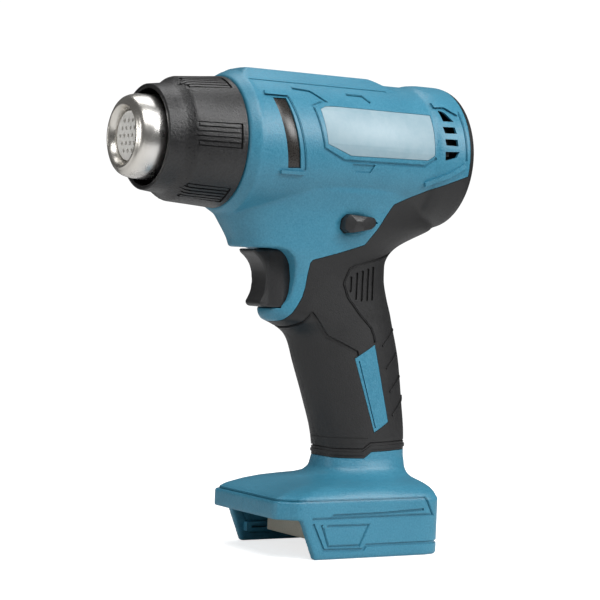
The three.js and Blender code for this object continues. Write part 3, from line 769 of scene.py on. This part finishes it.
for rail, side in zip(rails, (-1, 1)):
    combine(rail, block("rail_slot", (7, side * 32 - 2.2, 7.4), (76, side * 32 + 2.2, 8.9)), "DIFFERENCE")
combine(housing, united([spigot, *rails]), "UNION")
print("housing:", face_count(housing), "faces")

# %% [markdown]
# The screws go in from the right side, each in a round well, so only the right half has wells. Then
# the housing and the grip are parted down the middle. The halves keep a hair's gap, which shows as the
# seam line along the top and down the front.

# %% Screw wells and halves
SCREW_SEAT = 8.6
wells = [pin(x, z, 4.1, SCREW_SEAT, 46) for x, z in SCREW_PLACES]
shanks = [pin(x, z, 1.7, -12, 12, 20) for x, z in SCREW_PLACES]
cut_away(housing, wells + shanks)
cut_away(grip, [pin(x, z, 4.1, 0, 46) for x, z in SCREW_PLACES])


def parted(whole, name, side):
    """One half of a piece, on the left (-1) or the right (1) of the seam."""
    half = copy_of(whole, name)
    low, high = (SEAM / 2, 60) if side > 0 else (-60, -SEAM / 2)
    combine(half, block("side", (-120, low, -5), (120, high, 270)), "INTERSECT")
    make_active(half)
    bpy.ops.object.shade_smooth_by_angle(angle=math.radians(32))
    return half


halves = {}
for whole, word in ((housing, "housing"), (grip, "grip")):
    for side, hand in ((-1, "left"), (1, "right")):
        node = f"{word}_{hand}"
        half = parted(whole, f"{node}_finished", side)
        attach(half, "housing")
        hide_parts(node)
        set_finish(half, "housing_blue" if word == "housing" else "grip_rubber")
        halves[node] = half
        print(half.name, face_count(half), "faces")
    bpy.data.objects.remove(whole)
for helper in (form, core_faint, core_line, core_deep, shell_high, shell_tall, under_grip, hollow):
    bpy.data.objects.remove(helper)

# %% [markdown]
# ## Heat collar
# The collar is a hard black sleeve that is turned by hand while the tool is hot, so it carries ribbed
# pads for grip with raised lands between them. It is spun from one section. The pads are sunk from the
# land surface and their ribs are left standing, then the sharp edges get a small bevel.

# %% Wedges round the barrel
def wedge(turn, half_turn, x0, x1, inner, outer, steps=8):
    """A block that fills a few degrees of the barrel's circle. Zero degrees points to the left side."""
    angles = [math.radians(turn - half_turn + 2 * half_turn * i / steps) for i in range(steps + 1)]
    arc = [(-outer * math.cos(a), AXIS_Z + outer * math.sin(a)) for a in angles]
    back = [(-inner * math.cos(a), AXIS_Z + inner * math.sin(a)) for a in reversed(angles)]
    return slab("wedge", arc + back, x0, x1, along="x")


def bevelled(piece, width, segments=2, limit=35):
    return modify(piece, "BEVEL", width=width * MM, segments=segments, limit_method="ANGLE",
                  angle_limit=math.radians(limit), harden_normals=False, use_clamp_overlap=True)


def finished(piece, name, body, nodes, slot_name, angle=35):
    """Name a piece, smooth its shading and tie it to the frame."""
    piece.name = name
    make_active(piece)
    bpy.ops.object.shade_smooth_by_angle(angle=math.radians(angle))
    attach(piece, body)
    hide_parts(*nodes)
    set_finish(piece, slot_name)
    print(name, face_count(piece), "faces")
    return piece


# %% [markdown]
# The section has a thin lip at the front, a ramp and a long land. Each pad carries five ribs whose front
# ends follow a curve, as the thumb does. Three small lugs inside hold the collar on the housing.

# %% Collar
COLLAR_FRONT, COLLAR_REAR = box_mm("heat_collar")[0].x, box_mm("heat_collar")[1].x
LAND = [(-69.6, 31.3), (-68.4, 31.7), (-53, 32.9), (COLLAR_REAR + 0.6, 33.8), (COLLAR_REAR, 33.3)]
collar = turned("collar", [
    (COLLAR_FRONT + 0.5, 24.4), (COLLAR_FRONT, 24.9), (COLLAR_FRONT, 26.3), (COLLAR_FRONT + 0.5, 26.8),
    (-77.5, 27.5), (-74.4, 27.9), (-73.4, 28.3), (-70.6, 30.5), *LAND,
    (COLLAR_REAR, 31.2), (-48.5, 29.8), (-52, 29.8), (-54, 27.4), (-70, 26.2), (-81, 24.9),
], 192)
pad_core = turned("pad_core", [
    (-80, 0), (-80, 30.6), (-71.5, 30.7), (-67, 31), (-60, 31.4), (-43, 32.4), (-40, 0)], 96)
pads, ribs = [], []
for k in range(6):
    turn = 3 + 60 * k
    pad = wedge(turn, 11, -70.6, -45.4, 26, 40)
    combine(pad, pad_core, "DIFFERENCE", keep=True)
    pads.append(pad)
    for i in range(-2, 3):
        ribs.append(wedge(turn + 4.3 * i, 1.35, -71.5 + 1.1 * abs(i) ** 1.2, -46.4, 28.5, 40, 3))
combine(collar, united(pads), "DIFFERENCE")
rib_shell = turned("rib_shell", [
    (-80, 0), (-80, 28.3), (-73, 29), (-71, 30.6), (-69, 31.7), (-66, 32.2), (-43, 33.4), (-40, 0),
], 96)
rib_set = united(ribs)
combine(rib_set, rib_shell, "INTERSECT")
combine(collar, rib_set, "UNION")
LUG_TURNS = (30, 150, 270)
for turn in LUG_TURNS:
    combine(collar, wedge(-turn, 7, -48, -46, 28.2, 30.6), "UNION")
bpy.data.objects.remove(pad_core)
bevelled(collar, 0.22, 1, 40)
collar = finished(collar, "heat_collar_finished", "collar", ["heat_collar"], "collar_black")

# %% [markdown]
# ## Nozzle and heater front
# The outlet is a drawn steel tube with its front edge rolled in, polished bright. The roll matters more
# than any other shape here, because polished metal only shows what its curve reflects. The ceramic disc
# just inside carries the heating coil and lets the air out through small round holes.

# %% Nozzle
def arc_points(cx, cr, radius, start, end, steps):
    """Points on a circle in the half section, with angles in degrees from the rear."""
    angles = [math.radians(start + (end - start) * i / steps) for i in range(steps + 1)]
    return [(cx + radius * math.cos(a), cr + radius * math.sin(a)) for a in angles]


nozzle = turned("nozzle", [
    (-87.2, 13.1), (-92.6, 13.3), (-94.2, 13.9), (-95.5, 14.7), *arc_points(-95.4, 15.9, 1.1, 215, 130, 6),
    (-95.6, 17.8), (-94.9, 18.9), (-93.9, 19.8), (-92.4, 20.5), (-90.6, 21), (-88.4, 21.3), (-85, 21.4),
    (-60, 21.4), (-60, 20.7), (-88, 20.6), (-91.4, 19.9), (-93.4, 18.6), (-94.2, 16.6), (-93.6, 14.6),
    (-92, 13.9),
    (-87.2, 13.7),
], 160)
nozzle = finished(nozzle, "nozzle_finished", "housing", ["nozzle"], "nozzle_steel", 60)

# %% [markdown]
# The disc is a plain turned piece. The holes are one small bar in a staggered pattern, cut one by one,
# and a small bevel catches the light round each.

# %% Ceramic disc with its holes
disc = turned("disc", [(-92.6, 0), (-92.6, 12.2), (-92.2, 12.6), (-88.5, 12.6), (-88.5, 0)], 96)
HOLE_PITCH = 4.4
for row in range(-2, 3):
    for column in range(-2, 3):
        y = (column + (0.5 if row % 2 else 0)) * HOLE_PITCH
        z = row * HOLE_PITCH * 0.87
        if math.hypot(y, z) > 10.4:
            continue
        deselect_all()
        bpy.ops.mesh.primitive_cylinder_add(
            vertices=20, radius=1.15 * MM, depth=10 * MM, location=(-90 * MM, y * MM, (AXIS_Z + z) * MM),
            rotation=(0, math.pi / 2, 0))
        bpy.ops.object.transform_apply(location=True, rotation=True, scale=True)
        combine(disc, bpy.context.object, "DIFFERENCE")
bevelled(disc, 0.15, 1)
disc = finished(disc, "heater_grille_finished", "housing", ["heater_grille"], "heater_ceramic")

# %% [markdown]
# ## Trigger and lock
# The trigger is a thick bar with a hollow front for the finger and a small lip at the bottom. Its plain
# outline is extruded, then a fine remesh and some smoothing melt the edges to the roundness that a
# finger needs. The lock is a cross bolt with a faceted wedge for a head, so it is cut from three
# outlines, one in each view.

# %% Trigger
TRIGGER = [
    (6, 157.9), (-21.8, 157.9), (-21.4, 156), (-18.2, 153.6), (-15.5, 150.4), (-13.9, 146.4), (-13.3, 141.4),
    (-13.8, 136.6), (-15.2, 133.2), (-16.7, 130.9), (-16.6, 129), (-15, 127.9), (-11, 127.9), (6, 127.9),
]
TRIGGER_PLAN = [
    (-40, -7.6), (-12, -8), (-8.4, -9.8), (-5.4, -10.7), (8, -10.7), (8, 10.7), (-5.4, 10.7), (-8.4, 9.8),
    (-12, 8), (-40, 7.6),
]
trigger = slab("trigger", round_corners(TRIGGER, 6, 5), -10.7, 10.7)
combine(trigger, slab("trigger_plan", TRIGGER_PLAN, 120, 165, along="z"), "INTERSECT")
modify(trigger, "REMESH", mode="VOXEL", voxel_size=0.5 * MM)
modify(trigger, "SMOOTH", factor=0.5, iterations=12)
combine(trigger, block("trigger_hollow", (-4, -8.9, 131), (7, 8.9, 155)), "DIFFERENCE")
combine(trigger, block("trigger_stem", (-6, -3, 139), (6, 3, 147)), "UNION")
trigger = finished(trigger, "trigger_finished", "trigger", ["trigger"], "control_black")

# %% [markdown]
# The head of the lock has flat facets that meet in a ridge, so a thumb finds it without looking. The
# facets come from a side, an end and a top outline, and only a narrow bevel breaks their edges.

# %% Lock button
LOCK_LOW, LOCK_HIGH = box_mm("lock_button")
lock = slab("lock", LOCK, LOCK_LOW.y, LOCK_HIGH.y)
ridge_z = 174.3
ends = [
    (LOCK_LOW.y, ridge_z), (LOCK_LOW.y + 1.2, 165), (LOCK_HIGH.y - 1.2, 165), (LOCK_HIGH.y, ridge_z),
    (LOCK_HIGH.y - 2.6, 180), (LOCK_LOW.y + 2.6, 180),
]
combine(lock, slab("lock_ends", ends, 10, 40, along="x"), "INTERSECT")
plan = [
    (20, LOCK_LOW.y + 3.4), (25.4, LOCK_LOW.y), (29, LOCK_LOW.y), (43, LOCK_LOW.y + 4.6),
    (43, LOCK_HIGH.y - 4.6), (29, LOCK_HIGH.y), (25.4, LOCK_HIGH.y), (20, LOCK_HIGH.y - 3.4),
]
combine(lock, slab("lock_plan", plan, 160, 185, along="z"), "INTERSECT")
bevelled(lock, 0.35, 2, 15)
lock = finished(lock, "lock_button_finished", "lock", ["lock_button"], "control_black", 20)

# %% [markdown]
# ## Plates and trims
# The side trims are smooth dark strips that follow the barrel inside the slots. The plates are thin
# smooth labels, blank here. Both are an outline in the side view crossed with a ring of the right
# radius, which gives them the barrel's curve exactly.

# %% Plates and trims
def curved_strip(outline, inner, outer, side):
    strip = through(outline, -46 if side < 0 else 0, 0 if side < 0 else 46)
    x = [p[0] for p in outline]
    front, rear = min(x) - 2, max(x) + 2
    ring = turned("ring", [(front, inner), (front, outer), (rear, outer), (rear, inner)], 256)
    return combine(strip, ring, "INTERSECT")


for side, hand in ((-1, "left"), (1, "right")):
    trim = curved_strip(grown(TRIM, -0.2), 35.02, 36.3, side)
    bevelled(trim, 0.3, 2)
    finished(trim, f"side_trim_{hand}_finished", "housing", [f"side_trim_{hand}"], "trim_dark", 40)
    plate = curved_strip(grown(PLATE, -0.12), 36.42, 36.94, side)
    bevelled(plate, 0.15, 2)
    finished(plate, f"name_plate_{hand}_finished", "housing", [f"name_plate_{hand}"], "plate_blue", 40)

# %% [markdown]
# ## Battery terminals
# The terminal block is a pale moulding that hangs from the roof of the battery bay. The brass
# blades stand in two slots on its underside, where fingers can't touch them.

# %% Terminal block and blades
terminals = block("terminals", (10, -20, 8), (48, 20, 20.2))
combine(terminals, block("neck", (18, -20, 15), (48, 20, 23.5)), "UNION")
cut_away(terminals, [block("slit", (13, y - 1.6, 7), (41, y + 1.6, 17)) for y in (-13.5, 13.5)])
bevelled(terminals, 0.4, 2)
finished(terminals, "terminal_block_finished", "housing", ["terminal_block"], "terminal_grey")
for node in ("terminal_blade_positive", "terminal_blade_negative"):
    low, high = box_mm(node)
    blade = block("blade", low, high)
    bevelled(blade, 0.3, 2)
    finished(blade, f"{node}_finished", "housing", [node], "contact_brass")

# %% [markdown]
# ## Rear air intake
# Air is drawn in through a louvred disc that closes the rear of the barrel. The slots are cut from the
# spun disc one above the other. They slope down towards the rear, so drips run out again and nothing
# can be seen through the tool from vent to vent.

# %% Rear cover
cover = turned("cover", [
    (90, 0), (90, 28.2), (92, 28.2), (92, 25.7), (95.2, 25.7), (96, 24.9), (96, 22.8), (95.2, 22.2),
    (95.2, 0),
], 128)
for row in range(-3, 4):
    z = AXIS_Z + row * 6
    half = math.sqrt(21.2 ** 2 - (row * 6) ** 2)
    slanted = [(88, z + 1.8), (98, z - 5.2), (98, z - 2.2), (88, z + 4.8)]
    combine(cover, slab("louvre", slanted, -half, half), "DIFFERENCE")
bevelled(cover, 0.25, 2)
finished(cover, "rear_cover_finished", "housing", ["rear_cover"], "inner_black")

# %% [markdown]
# ## Screws and spring
# One screw is modelled with its head, its six-sided drive and the crests of its thread, and copied to
# every well. The trigger spring is a short helix from a screw modifier.

# %% Screws
def screw_at_origin():
    screw = pin(0, 0, 3.6, SCREW_SEAT, SCREW_SEAT + 2.5, 32)
    bevelled(screw, 0.9, 3, 60)
    combine(screw, pin(0, 0, 1.5, SCREW_SEAT + 1, SCREW_SEAT + 4, 6), "DIFFERENCE")
    combine(screw, pin(0, 0, 1.25, -9, SCREW_SEAT + 0.5, 20), "UNION")
    deselect_all()
    bpy.ops.mesh.primitive_cone_add(vertices=20, radius1=1.25 * MM, radius2=0, depth=2 * MM,
                                    location=(0, -9.9 * MM, 0), rotation=(math.pi / 2, 0, 0))
    bpy.ops.object.transform_apply(location=True, rotation=True, scale=True)
    combine(screw, bpy.context.object, "UNION")
    for i in range(9):
        deselect_all()
        bpy.ops.mesh.primitive_uv_sphere_add(
            segments=20, ring_count=6, radius=1.6 * MM, location=(0, (-8 + i * 1.7) * MM, 0))
        crest = bpy.context.object
        crest.scale = (1, 0.3, 1)
        bpy.ops.object.transform_apply(location=True, rotation=True, scale=True)
        combine(screw, crest, "UNION")
    return screw


first_screw = screw_at_origin()
for i, (x, z) in enumerate(SCREW_PLACES):
    screw = copy_of(first_screw, "screw")
    screw.location = (x * MM, 0, z * MM)
    make_active(screw)
    bpy.ops.object.transform_apply(location=True, rotation=False, scale=False)
    node = f"housing_screw_{i + 1}"
    finished(screw, f"{node}_finished", "housing", [node], "screw_steel")
bpy.data.objects.remove(first_screw)

# %% [markdown]
# The spring's wire is a small circle swept up a helix, then laid along the trigger's travel.

# %% Trigger spring
SPRING_LOW, SPRING_HIGH = box_mm("trigger_spring")
WIRE, TURNS = 0.5, 5
length = SPRING_HIGH.x - SPRING_LOW.x
coil_radius = (SPRING_HIGH.z - SPRING_LOW.z) / 2 - WIRE
deselect_all()
bpy.ops.mesh.primitive_circle_add(
    vertices=10, radius=WIRE * MM, fill_type="NGON", location=(coil_radius * MM, 0, 0),
    rotation=(math.pi / 2, 0, 0))
bpy.ops.object.transform_apply(location=True, rotation=True, scale=True)
spring = bpy.context.object
edit(spring)
bpy.ops.mesh.select_all(action="SELECT")
bpy.ops.mesh.delete(type="ONLY_FACE")
bpy.ops.object.mode_set(mode="OBJECT")
modify(spring, "SCREW", angle=2 * math.pi * TURNS, steps=24 * TURNS, render_steps=24 * TURNS,
       screw_offset=(length - 2 * WIRE) * MM, axis="Z", use_merge_vertices=False)
edit(spring)
bpy.ops.mesh.select_all(action="DESELECT")
bpy.ops.mesh.select_non_manifold()
bpy.ops.mesh.edge_face_add()
bpy.ops.object.mode_set(mode="OBJECT")
spring.rotation_euler = (0, math.pi / 2, 0)
spring.location = ((SPRING_LOW.x + WIRE) * MM, 0, (SPRING_LOW.z + SPRING_HIGH.z) / 2 * MM)
make_active(spring)
bpy.ops.object.transform_apply(location=True, rotation=True, scale=True)
tidy(spring, 0.0005)
spring = finished(spring, "trigger_spring_finished", "housing", ["trigger_spring"], "motor_steel", 60)
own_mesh(spring)

# %% [markdown]
# ## Finishes
# Every finish is procedural and reads the piece's own coordinates, so its grain has a true size and
# stays put when a joint moves. Scales are worked from millimetres. A texture's scale counts features
# in a metre, so it is one over the size of a feature.

# %% Tools for finishes
def linear(hex_colour):
    """A colour as it looks on a screen, turned into the linear values that light is reckoned in."""
    values = [int(hex_colour[i:i + 2], 16) / 255 for i in (1, 3, 5)]
    return tuple(v / 12.92 if v <= 0.04045 else ((v + 0.055) / 1.055) ** 2.4 for v in values) + (1,)


def add_node(tree, kind, settings=None, links=None):
    """Add a node, give its inputs and settings their values, and link what feeds it."""
    node = tree.nodes.new(kind)
    for key, value in (settings or {}).items():
        if isinstance(key, int) or key in node.inputs:
            node.inputs[key].default_value = value
        else:
            setattr(node, key, value)
    for key, source in (links or {}).items():
        tree.links.new(source.outputs[0] if hasattr(source, "outputs") else source, node.inputs[key])
    return node


def per_metre(millimetres):
    return 1 / (millimetres * MM)


def surface(name, metallic=0.0, **constants):
    """A new material with its shader and the piece's own coordinates."""
    material = bpy.data.materials.new(name)
    material.use_nodes = True
    tree = material.node_tree
    shader = tree.nodes["Principled BSDF"]
    shader.inputs["Metallic"].default_value = metallic
    for key, value in constants.items():
        shader.inputs[key.replace("_", " ")].default_value = value
    place = tree.nodes.new("ShaderNodeTexCoord").outputs["Object"]
    return material, tree, shader, place


def grained(name, dark, light, rough, grain, relief, drift=30, metallic=0.0, **constants):
    """A material whose tone, shine and relief follow a fine grain over a slow drift.
    rough is (least, most); grain, relief and drift are in millimetres."""
    material, tree, shader, place = surface(name, metallic, **constants)
    fine = add_node(tree, "ShaderNodeTexNoise", {
        "Scale": per_metre(grain), "Detail": 3, "Roughness": 0.65}, {"Vector": place})
    slow = add_node(tree, "ShaderNodeTexNoise", {"Scale": per_metre(drift), "Detail": 2}, {"Vector": place})
    both = add_node(tree, "ShaderNodeMath", {"operation": "MULTIPLY_ADD", 1: 0.45}, {0: slow, 2: fine})
    tone = add_node(tree, "ShaderNodeMapRange", {"From Min": 0.5, "From Max": 0.95}, {"Value": both})
    colour = add_node(tree, "ShaderNodeMixRGB", {
        "Color1": linear(dark), "Color2": linear(light)}, {"Fac": tone})
    shine = add_node(tree, "ShaderNodeMapRange", {
        "From Min": 0.3, "From Max": 0.7, "To Min": rough[0], "To Max": rough[1]}, {"Value": fine})
    bump = add_node(tree, "ShaderNodeBump", {"Strength": 1.0, "Distance": relief * MM}, {"Height": fine})
    tree.links.new(colour.outputs[0], shader.inputs["Base Color"])
    tree.links.new(shine.outputs[0], shader.inputs["Roughness"])
    tree.links.new(bump.outputs[0], shader.inputs["Normal"])
    return material


print("a 1 mm grain is", round(per_metre(1)), "features in a metre")

# %% [markdown]
# The visible plastics share one recipe with different numbers. A mould for a tool housing is etched by
# sparks, which leaves a fine even pitting, so the plastic looks soft and slightly sparkling instead of
# glossy. The rubber is duller and finer. The real pits are about a quarter of a millimetre wide. They
# are drawn up to four times as coarse here, or they would vanish at the size of the finished view.

# %% Visible plastics and rubber
FINISHES = {
    # Glass-filled nylon, spark-textured: a mid blue that pales where the lamp grazes it.
    "housing_blue": grained("moulded blue nylon", "#2e748e", "#4389a3", (0.3, 0.46), 1.0, 0.17),
    # Soft thermoplastic rubber: near black, dull, with a very fine grain.
    "grip_rubber": grained("soft overmould rubber", "#131314", "#1f1f20", (0.38, 0.6), 0.8, 0.11),
    # Heat-resistant nylon: coarser pits, so its highlights break up into specks.
    "collar_black": grained("heat-resistant black nylon", "#161617", "#2b2b2c", (0.27, 0.42), 1.2, 0.3),
    # The moving parts are made in the same black nylon with a finer texture.
    "control_black": grained("trigger nylon", "#212122", "#303031", (0.3, 0.44), 0.6, 0.09),
    # Smooth dark polycarbonate: few pits and a clear highlight.
    "trim_dark": grained("smooth dark trim", "#211f1d", "#2c2926", (0.24, 0.34), 0.9, 0.015),
    # A printed film under a thin clear coat: pale, smooth and satin.
    "plate_blue": grained("label film", "#88a4b0", "#95adb7", (0.42, 0.5), 6, 0.004, 22,
                          Coat_Weight=0.15, Coat_Roughness=0.3),
    # Filled polyester for contacts: a warm grey with a dry surface.
    "terminal_grey": grained("terminal moulding", "#a49e8e", "#b6b0a0", (0.45, 0.55), 0.6, 0.03),
    # Plain black polypropylene for parts out of sight.
    "inner_black": grained("inner black plastic", "#1b1b1c", "#262627", (0.42, 0.55), 0.8, 0.03),
    # The fan is moulded in a natural grey nylon.
    "fan_grey": grained("fan nylon", "#6d6f70", "#7d7f80", (0.35, 0.5), 0.8, 0.02),
    # Silicone sleeves on the leads: saturated, soft and slightly dusty.
    "lead_red": grained("red silicone sleeve", "#8c1f1b", "#a32a24", (0.4, 0.55), 0.5, 0.01),
    "lead_black": grained("black silicone sleeve", "#1d1d1e", "#2a2a2b", (0.4, 0.55), 0.5, 0.01),
    # Cordierite ceramic: off-white, dry, with fine pores.
    "heater_ceramic": grained("heater ceramic", "#f4f2ec", "#fdfcf8", (0.7, 0.85), 0.5, 0.05),
    # Mica sheet: pale brown with a pearly layer that differs from patch to patch.
    "heater_mica": grained("mica sheet", "#a08a66", "#cdbb95", (0.25, 0.6), 2.5, 0.03, 9),
    # Resistance wire browned by heat.
    "heater_metal": grained("heated steel", "#6a5c50", "#94897c", (0.3, 0.5), 1.2, 0.01, 12, metallic=1.0),
    # Rolled brass blades with a brushed face.
    "contact_brass": grained("contact brass", "#b89450", "#d0ad68", (0.22, 0.36), 0.6, 0.006, 8,
                             metallic=1.0),
    # Zinc-plated steel of the motor can and its shaft.
    "motor_steel": grained("zinc-plated steel", "#a5a6a8", "#c2c3c5", (0.25, 0.42), 1.5, 0.008, 12,
                           metallic=1.0),
    # Blackened screw steel, a little oily.
    "screw_steel": grained("blackened screw steel", "#2b2b2c", "#454546", (0.3, 0.45), 0.5, 0.01, 5,
                           metallic=1.0),
}
print(len(FINISHES), "finishes from the shared recipe")


# %% [markdown]
# The nozzle is polished on a lathe after it is drawn. The polish leaves faint rings round the axis that
# stretch each reflection a little. The steel near the hot edge has a trace of straw colour from heat.

# %% Polished steel
def polished_steel():
    material, tree, shader, place = surface("polished steel", 1.0)
    apart = add_node(tree, "ShaderNodeSeparateXYZ", links={"Vector": place})
    rings = add_node(tree, "ShaderNodeTexNoise", {
        "noise_dimensions": "1D", "Scale": per_metre(0.4), "Detail": 2}, {"W": apart.outputs["X"]})
    warm = add_node(tree, "ShaderNodeMapRange", {
        "From Min": -0.0965, "From Max": -0.088}, {"Value": apart.outputs["X"]})
    colour = add_node(tree, "ShaderNodeMixRGB", {
        "Color1": linear("#dcd8d0"), "Color2": linear("#dedcd9")}, {"Fac": warm})
    smear = add_node(tree, "ShaderNodeTexNoise", {"Scale": per_metre(7), "Detail": 3}, {"Vector": place})
    shine = add_node(tree, "ShaderNodeMapRange", {
        "From Min": 0.3, "From Max": 0.7, "To Min": 0.24, "To Max": 0.34}, {"Value": smear})
    bump = add_node(tree, "ShaderNodeBump", {"Strength": 1.0, "Distance": 0.002 * MM}, {"Height": rings})
    tree.links.new(colour.outputs[0], shader.inputs["Base Color"])
    tree.links.new(shine.outputs[0], shader.inputs["Roughness"])
    tree.links.new(bump.outputs[0], shader.inputs["Normal"])
    return material


FINISHES["nozzle_steel"] = polished_steel()
print(len(FINISHES), "finishes with the steel")


# %% [markdown]
# The control board is green lacquer over copper tracks. A brick texture gives straight tracks, which
# are slightly raised and lighter where the copper lies under the lacquer.

# %% Board
def lacquered_board():
    material, tree, shader, place = surface("circuit board", 0.0, Coat_Weight=0.3, Coat_Roughness=0.2)
    tracks = add_node(tree, "ShaderNodeTexBrick", {
        "Color1": linear("#1f5a3a"), "Color2": linear("#256a45"), "Mortar": linear("#3f8a5c"),
        "Scale": per_metre(8), "Mortar Size": 0.06,
    }, {"Vector": place})
    specks = add_node(tree, "ShaderNodeTexNoise", {"Scale": per_metre(1), "Detail": 2}, {"Vector": place})
    shine = add_node(tree, "ShaderNodeMapRange", {"To Min": 0.25, "To Max": 0.45}, {"Value": specks})
    bump = add_node(tree, "ShaderNodeBump", {
        "Strength": 1.0, "Distance": 0.03 * MM}, {"Height": tracks.outputs["Fac"]})
    tree.links.new(tracks.outputs["Color"], shader.inputs["Base Color"])
    tree.links.new(shine.outputs[0], shader.inputs["Roughness"])
    tree.links.new(bump.outputs[0], shader.inputs["Normal"])
    return material


FINISHES["board_green"] = lacquered_board()
print(len(FINISHES), "finishes with the board")

# %% [markdown]
# Each finished piece takes the finish of its slot. The inner pieces keep the working design's shapes,
# because nothing can be seen of them with the tool closed, but each still gets its real finish.

# %% Put the finishes on
def dress(piece, material):
    piece.data.materials.clear()
    piece.data.materials.append(material)


for piece in [o for o in bpy.context.scene.objects if o.type == "MESH" and "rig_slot" in o]:
    if piece["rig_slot"] in FINISHES and piece.name.endswith("_finished"):
        dress(piece, FINISHES[piece["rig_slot"]])
INNER_SLOTS = {
    "heater_tube": "heater_metal", "insulation_sleeve": "heater_mica", "heater_former": "heater_mica",
    "heating_coil": "heater_metal", "thermal_cutout": "motor_steel", "fan_shroud": "inner_black",
    "fan_impeller": "fan_grey", "motor_shaft": "motor_steel", "fan_motor": "motor_steel",
    "motor_mount": "inner_black", "switch_plunger": "terminal_grey", "switch_body": "inner_black",
    "control_board": "board_green",
    "battery_lead_positive": "lead_red", "battery_lead_negative": "lead_black",
    "motor_lead_positive": "lead_red", "motor_lead_negative": "lead_black",
    "heater_lead_positive": "lead_red", "heater_lead_negative": "lead_black",
}
for node, slot_name in INNER_SLOTS.items():
    dress(bpy.data.objects[node], FINISHES[slot_name])
print(len(INNER_SLOTS), "inner pieces dressed")

# %% [markdown]
# The floor is no part of the tool, so it gets the plainest finish: a matt pale sheet, faintly cloudy,
# with a glow that only the camera sees.

# %% Studio floor finish
def table_sheet():
    """Matt white acrylic over a lamp: faintly cloudy, with a little light of its own for the camera."""
    material, tree, shader, place = surface("matt white acrylic", 0.0, Roughness=0.9)
    cloud = add_node(tree, "ShaderNodeTexNoise", {"Scale": per_metre(3), "Detail": 3}, {"Vector": place})
    colour = add_node(tree, "ShaderNodeMixRGB", {
        "Color1": linear("#dcdcdc"), "Color2": linear("#e0e0e0")}, {"Fac": cloud})
    path = add_node(tree, "ShaderNodeLightPath")
    glow = add_node(tree, "ShaderNodeMapRange", {"To Max": 0.75}, {"Value": path.outputs["Is Camera Ray"]})
    shader.inputs["Emission Color"].default_value = (1, 1, 1, 1)
    tree.links.new(glow.outputs[0], shader.inputs["Emission Strength"])
    tree.links.new(colour.outputs[0], shader.inputs["Base Color"])
    return material


dress(studio_floor, table_sheet())
print("floor finish:", studio_floor.data.materials[0].name)
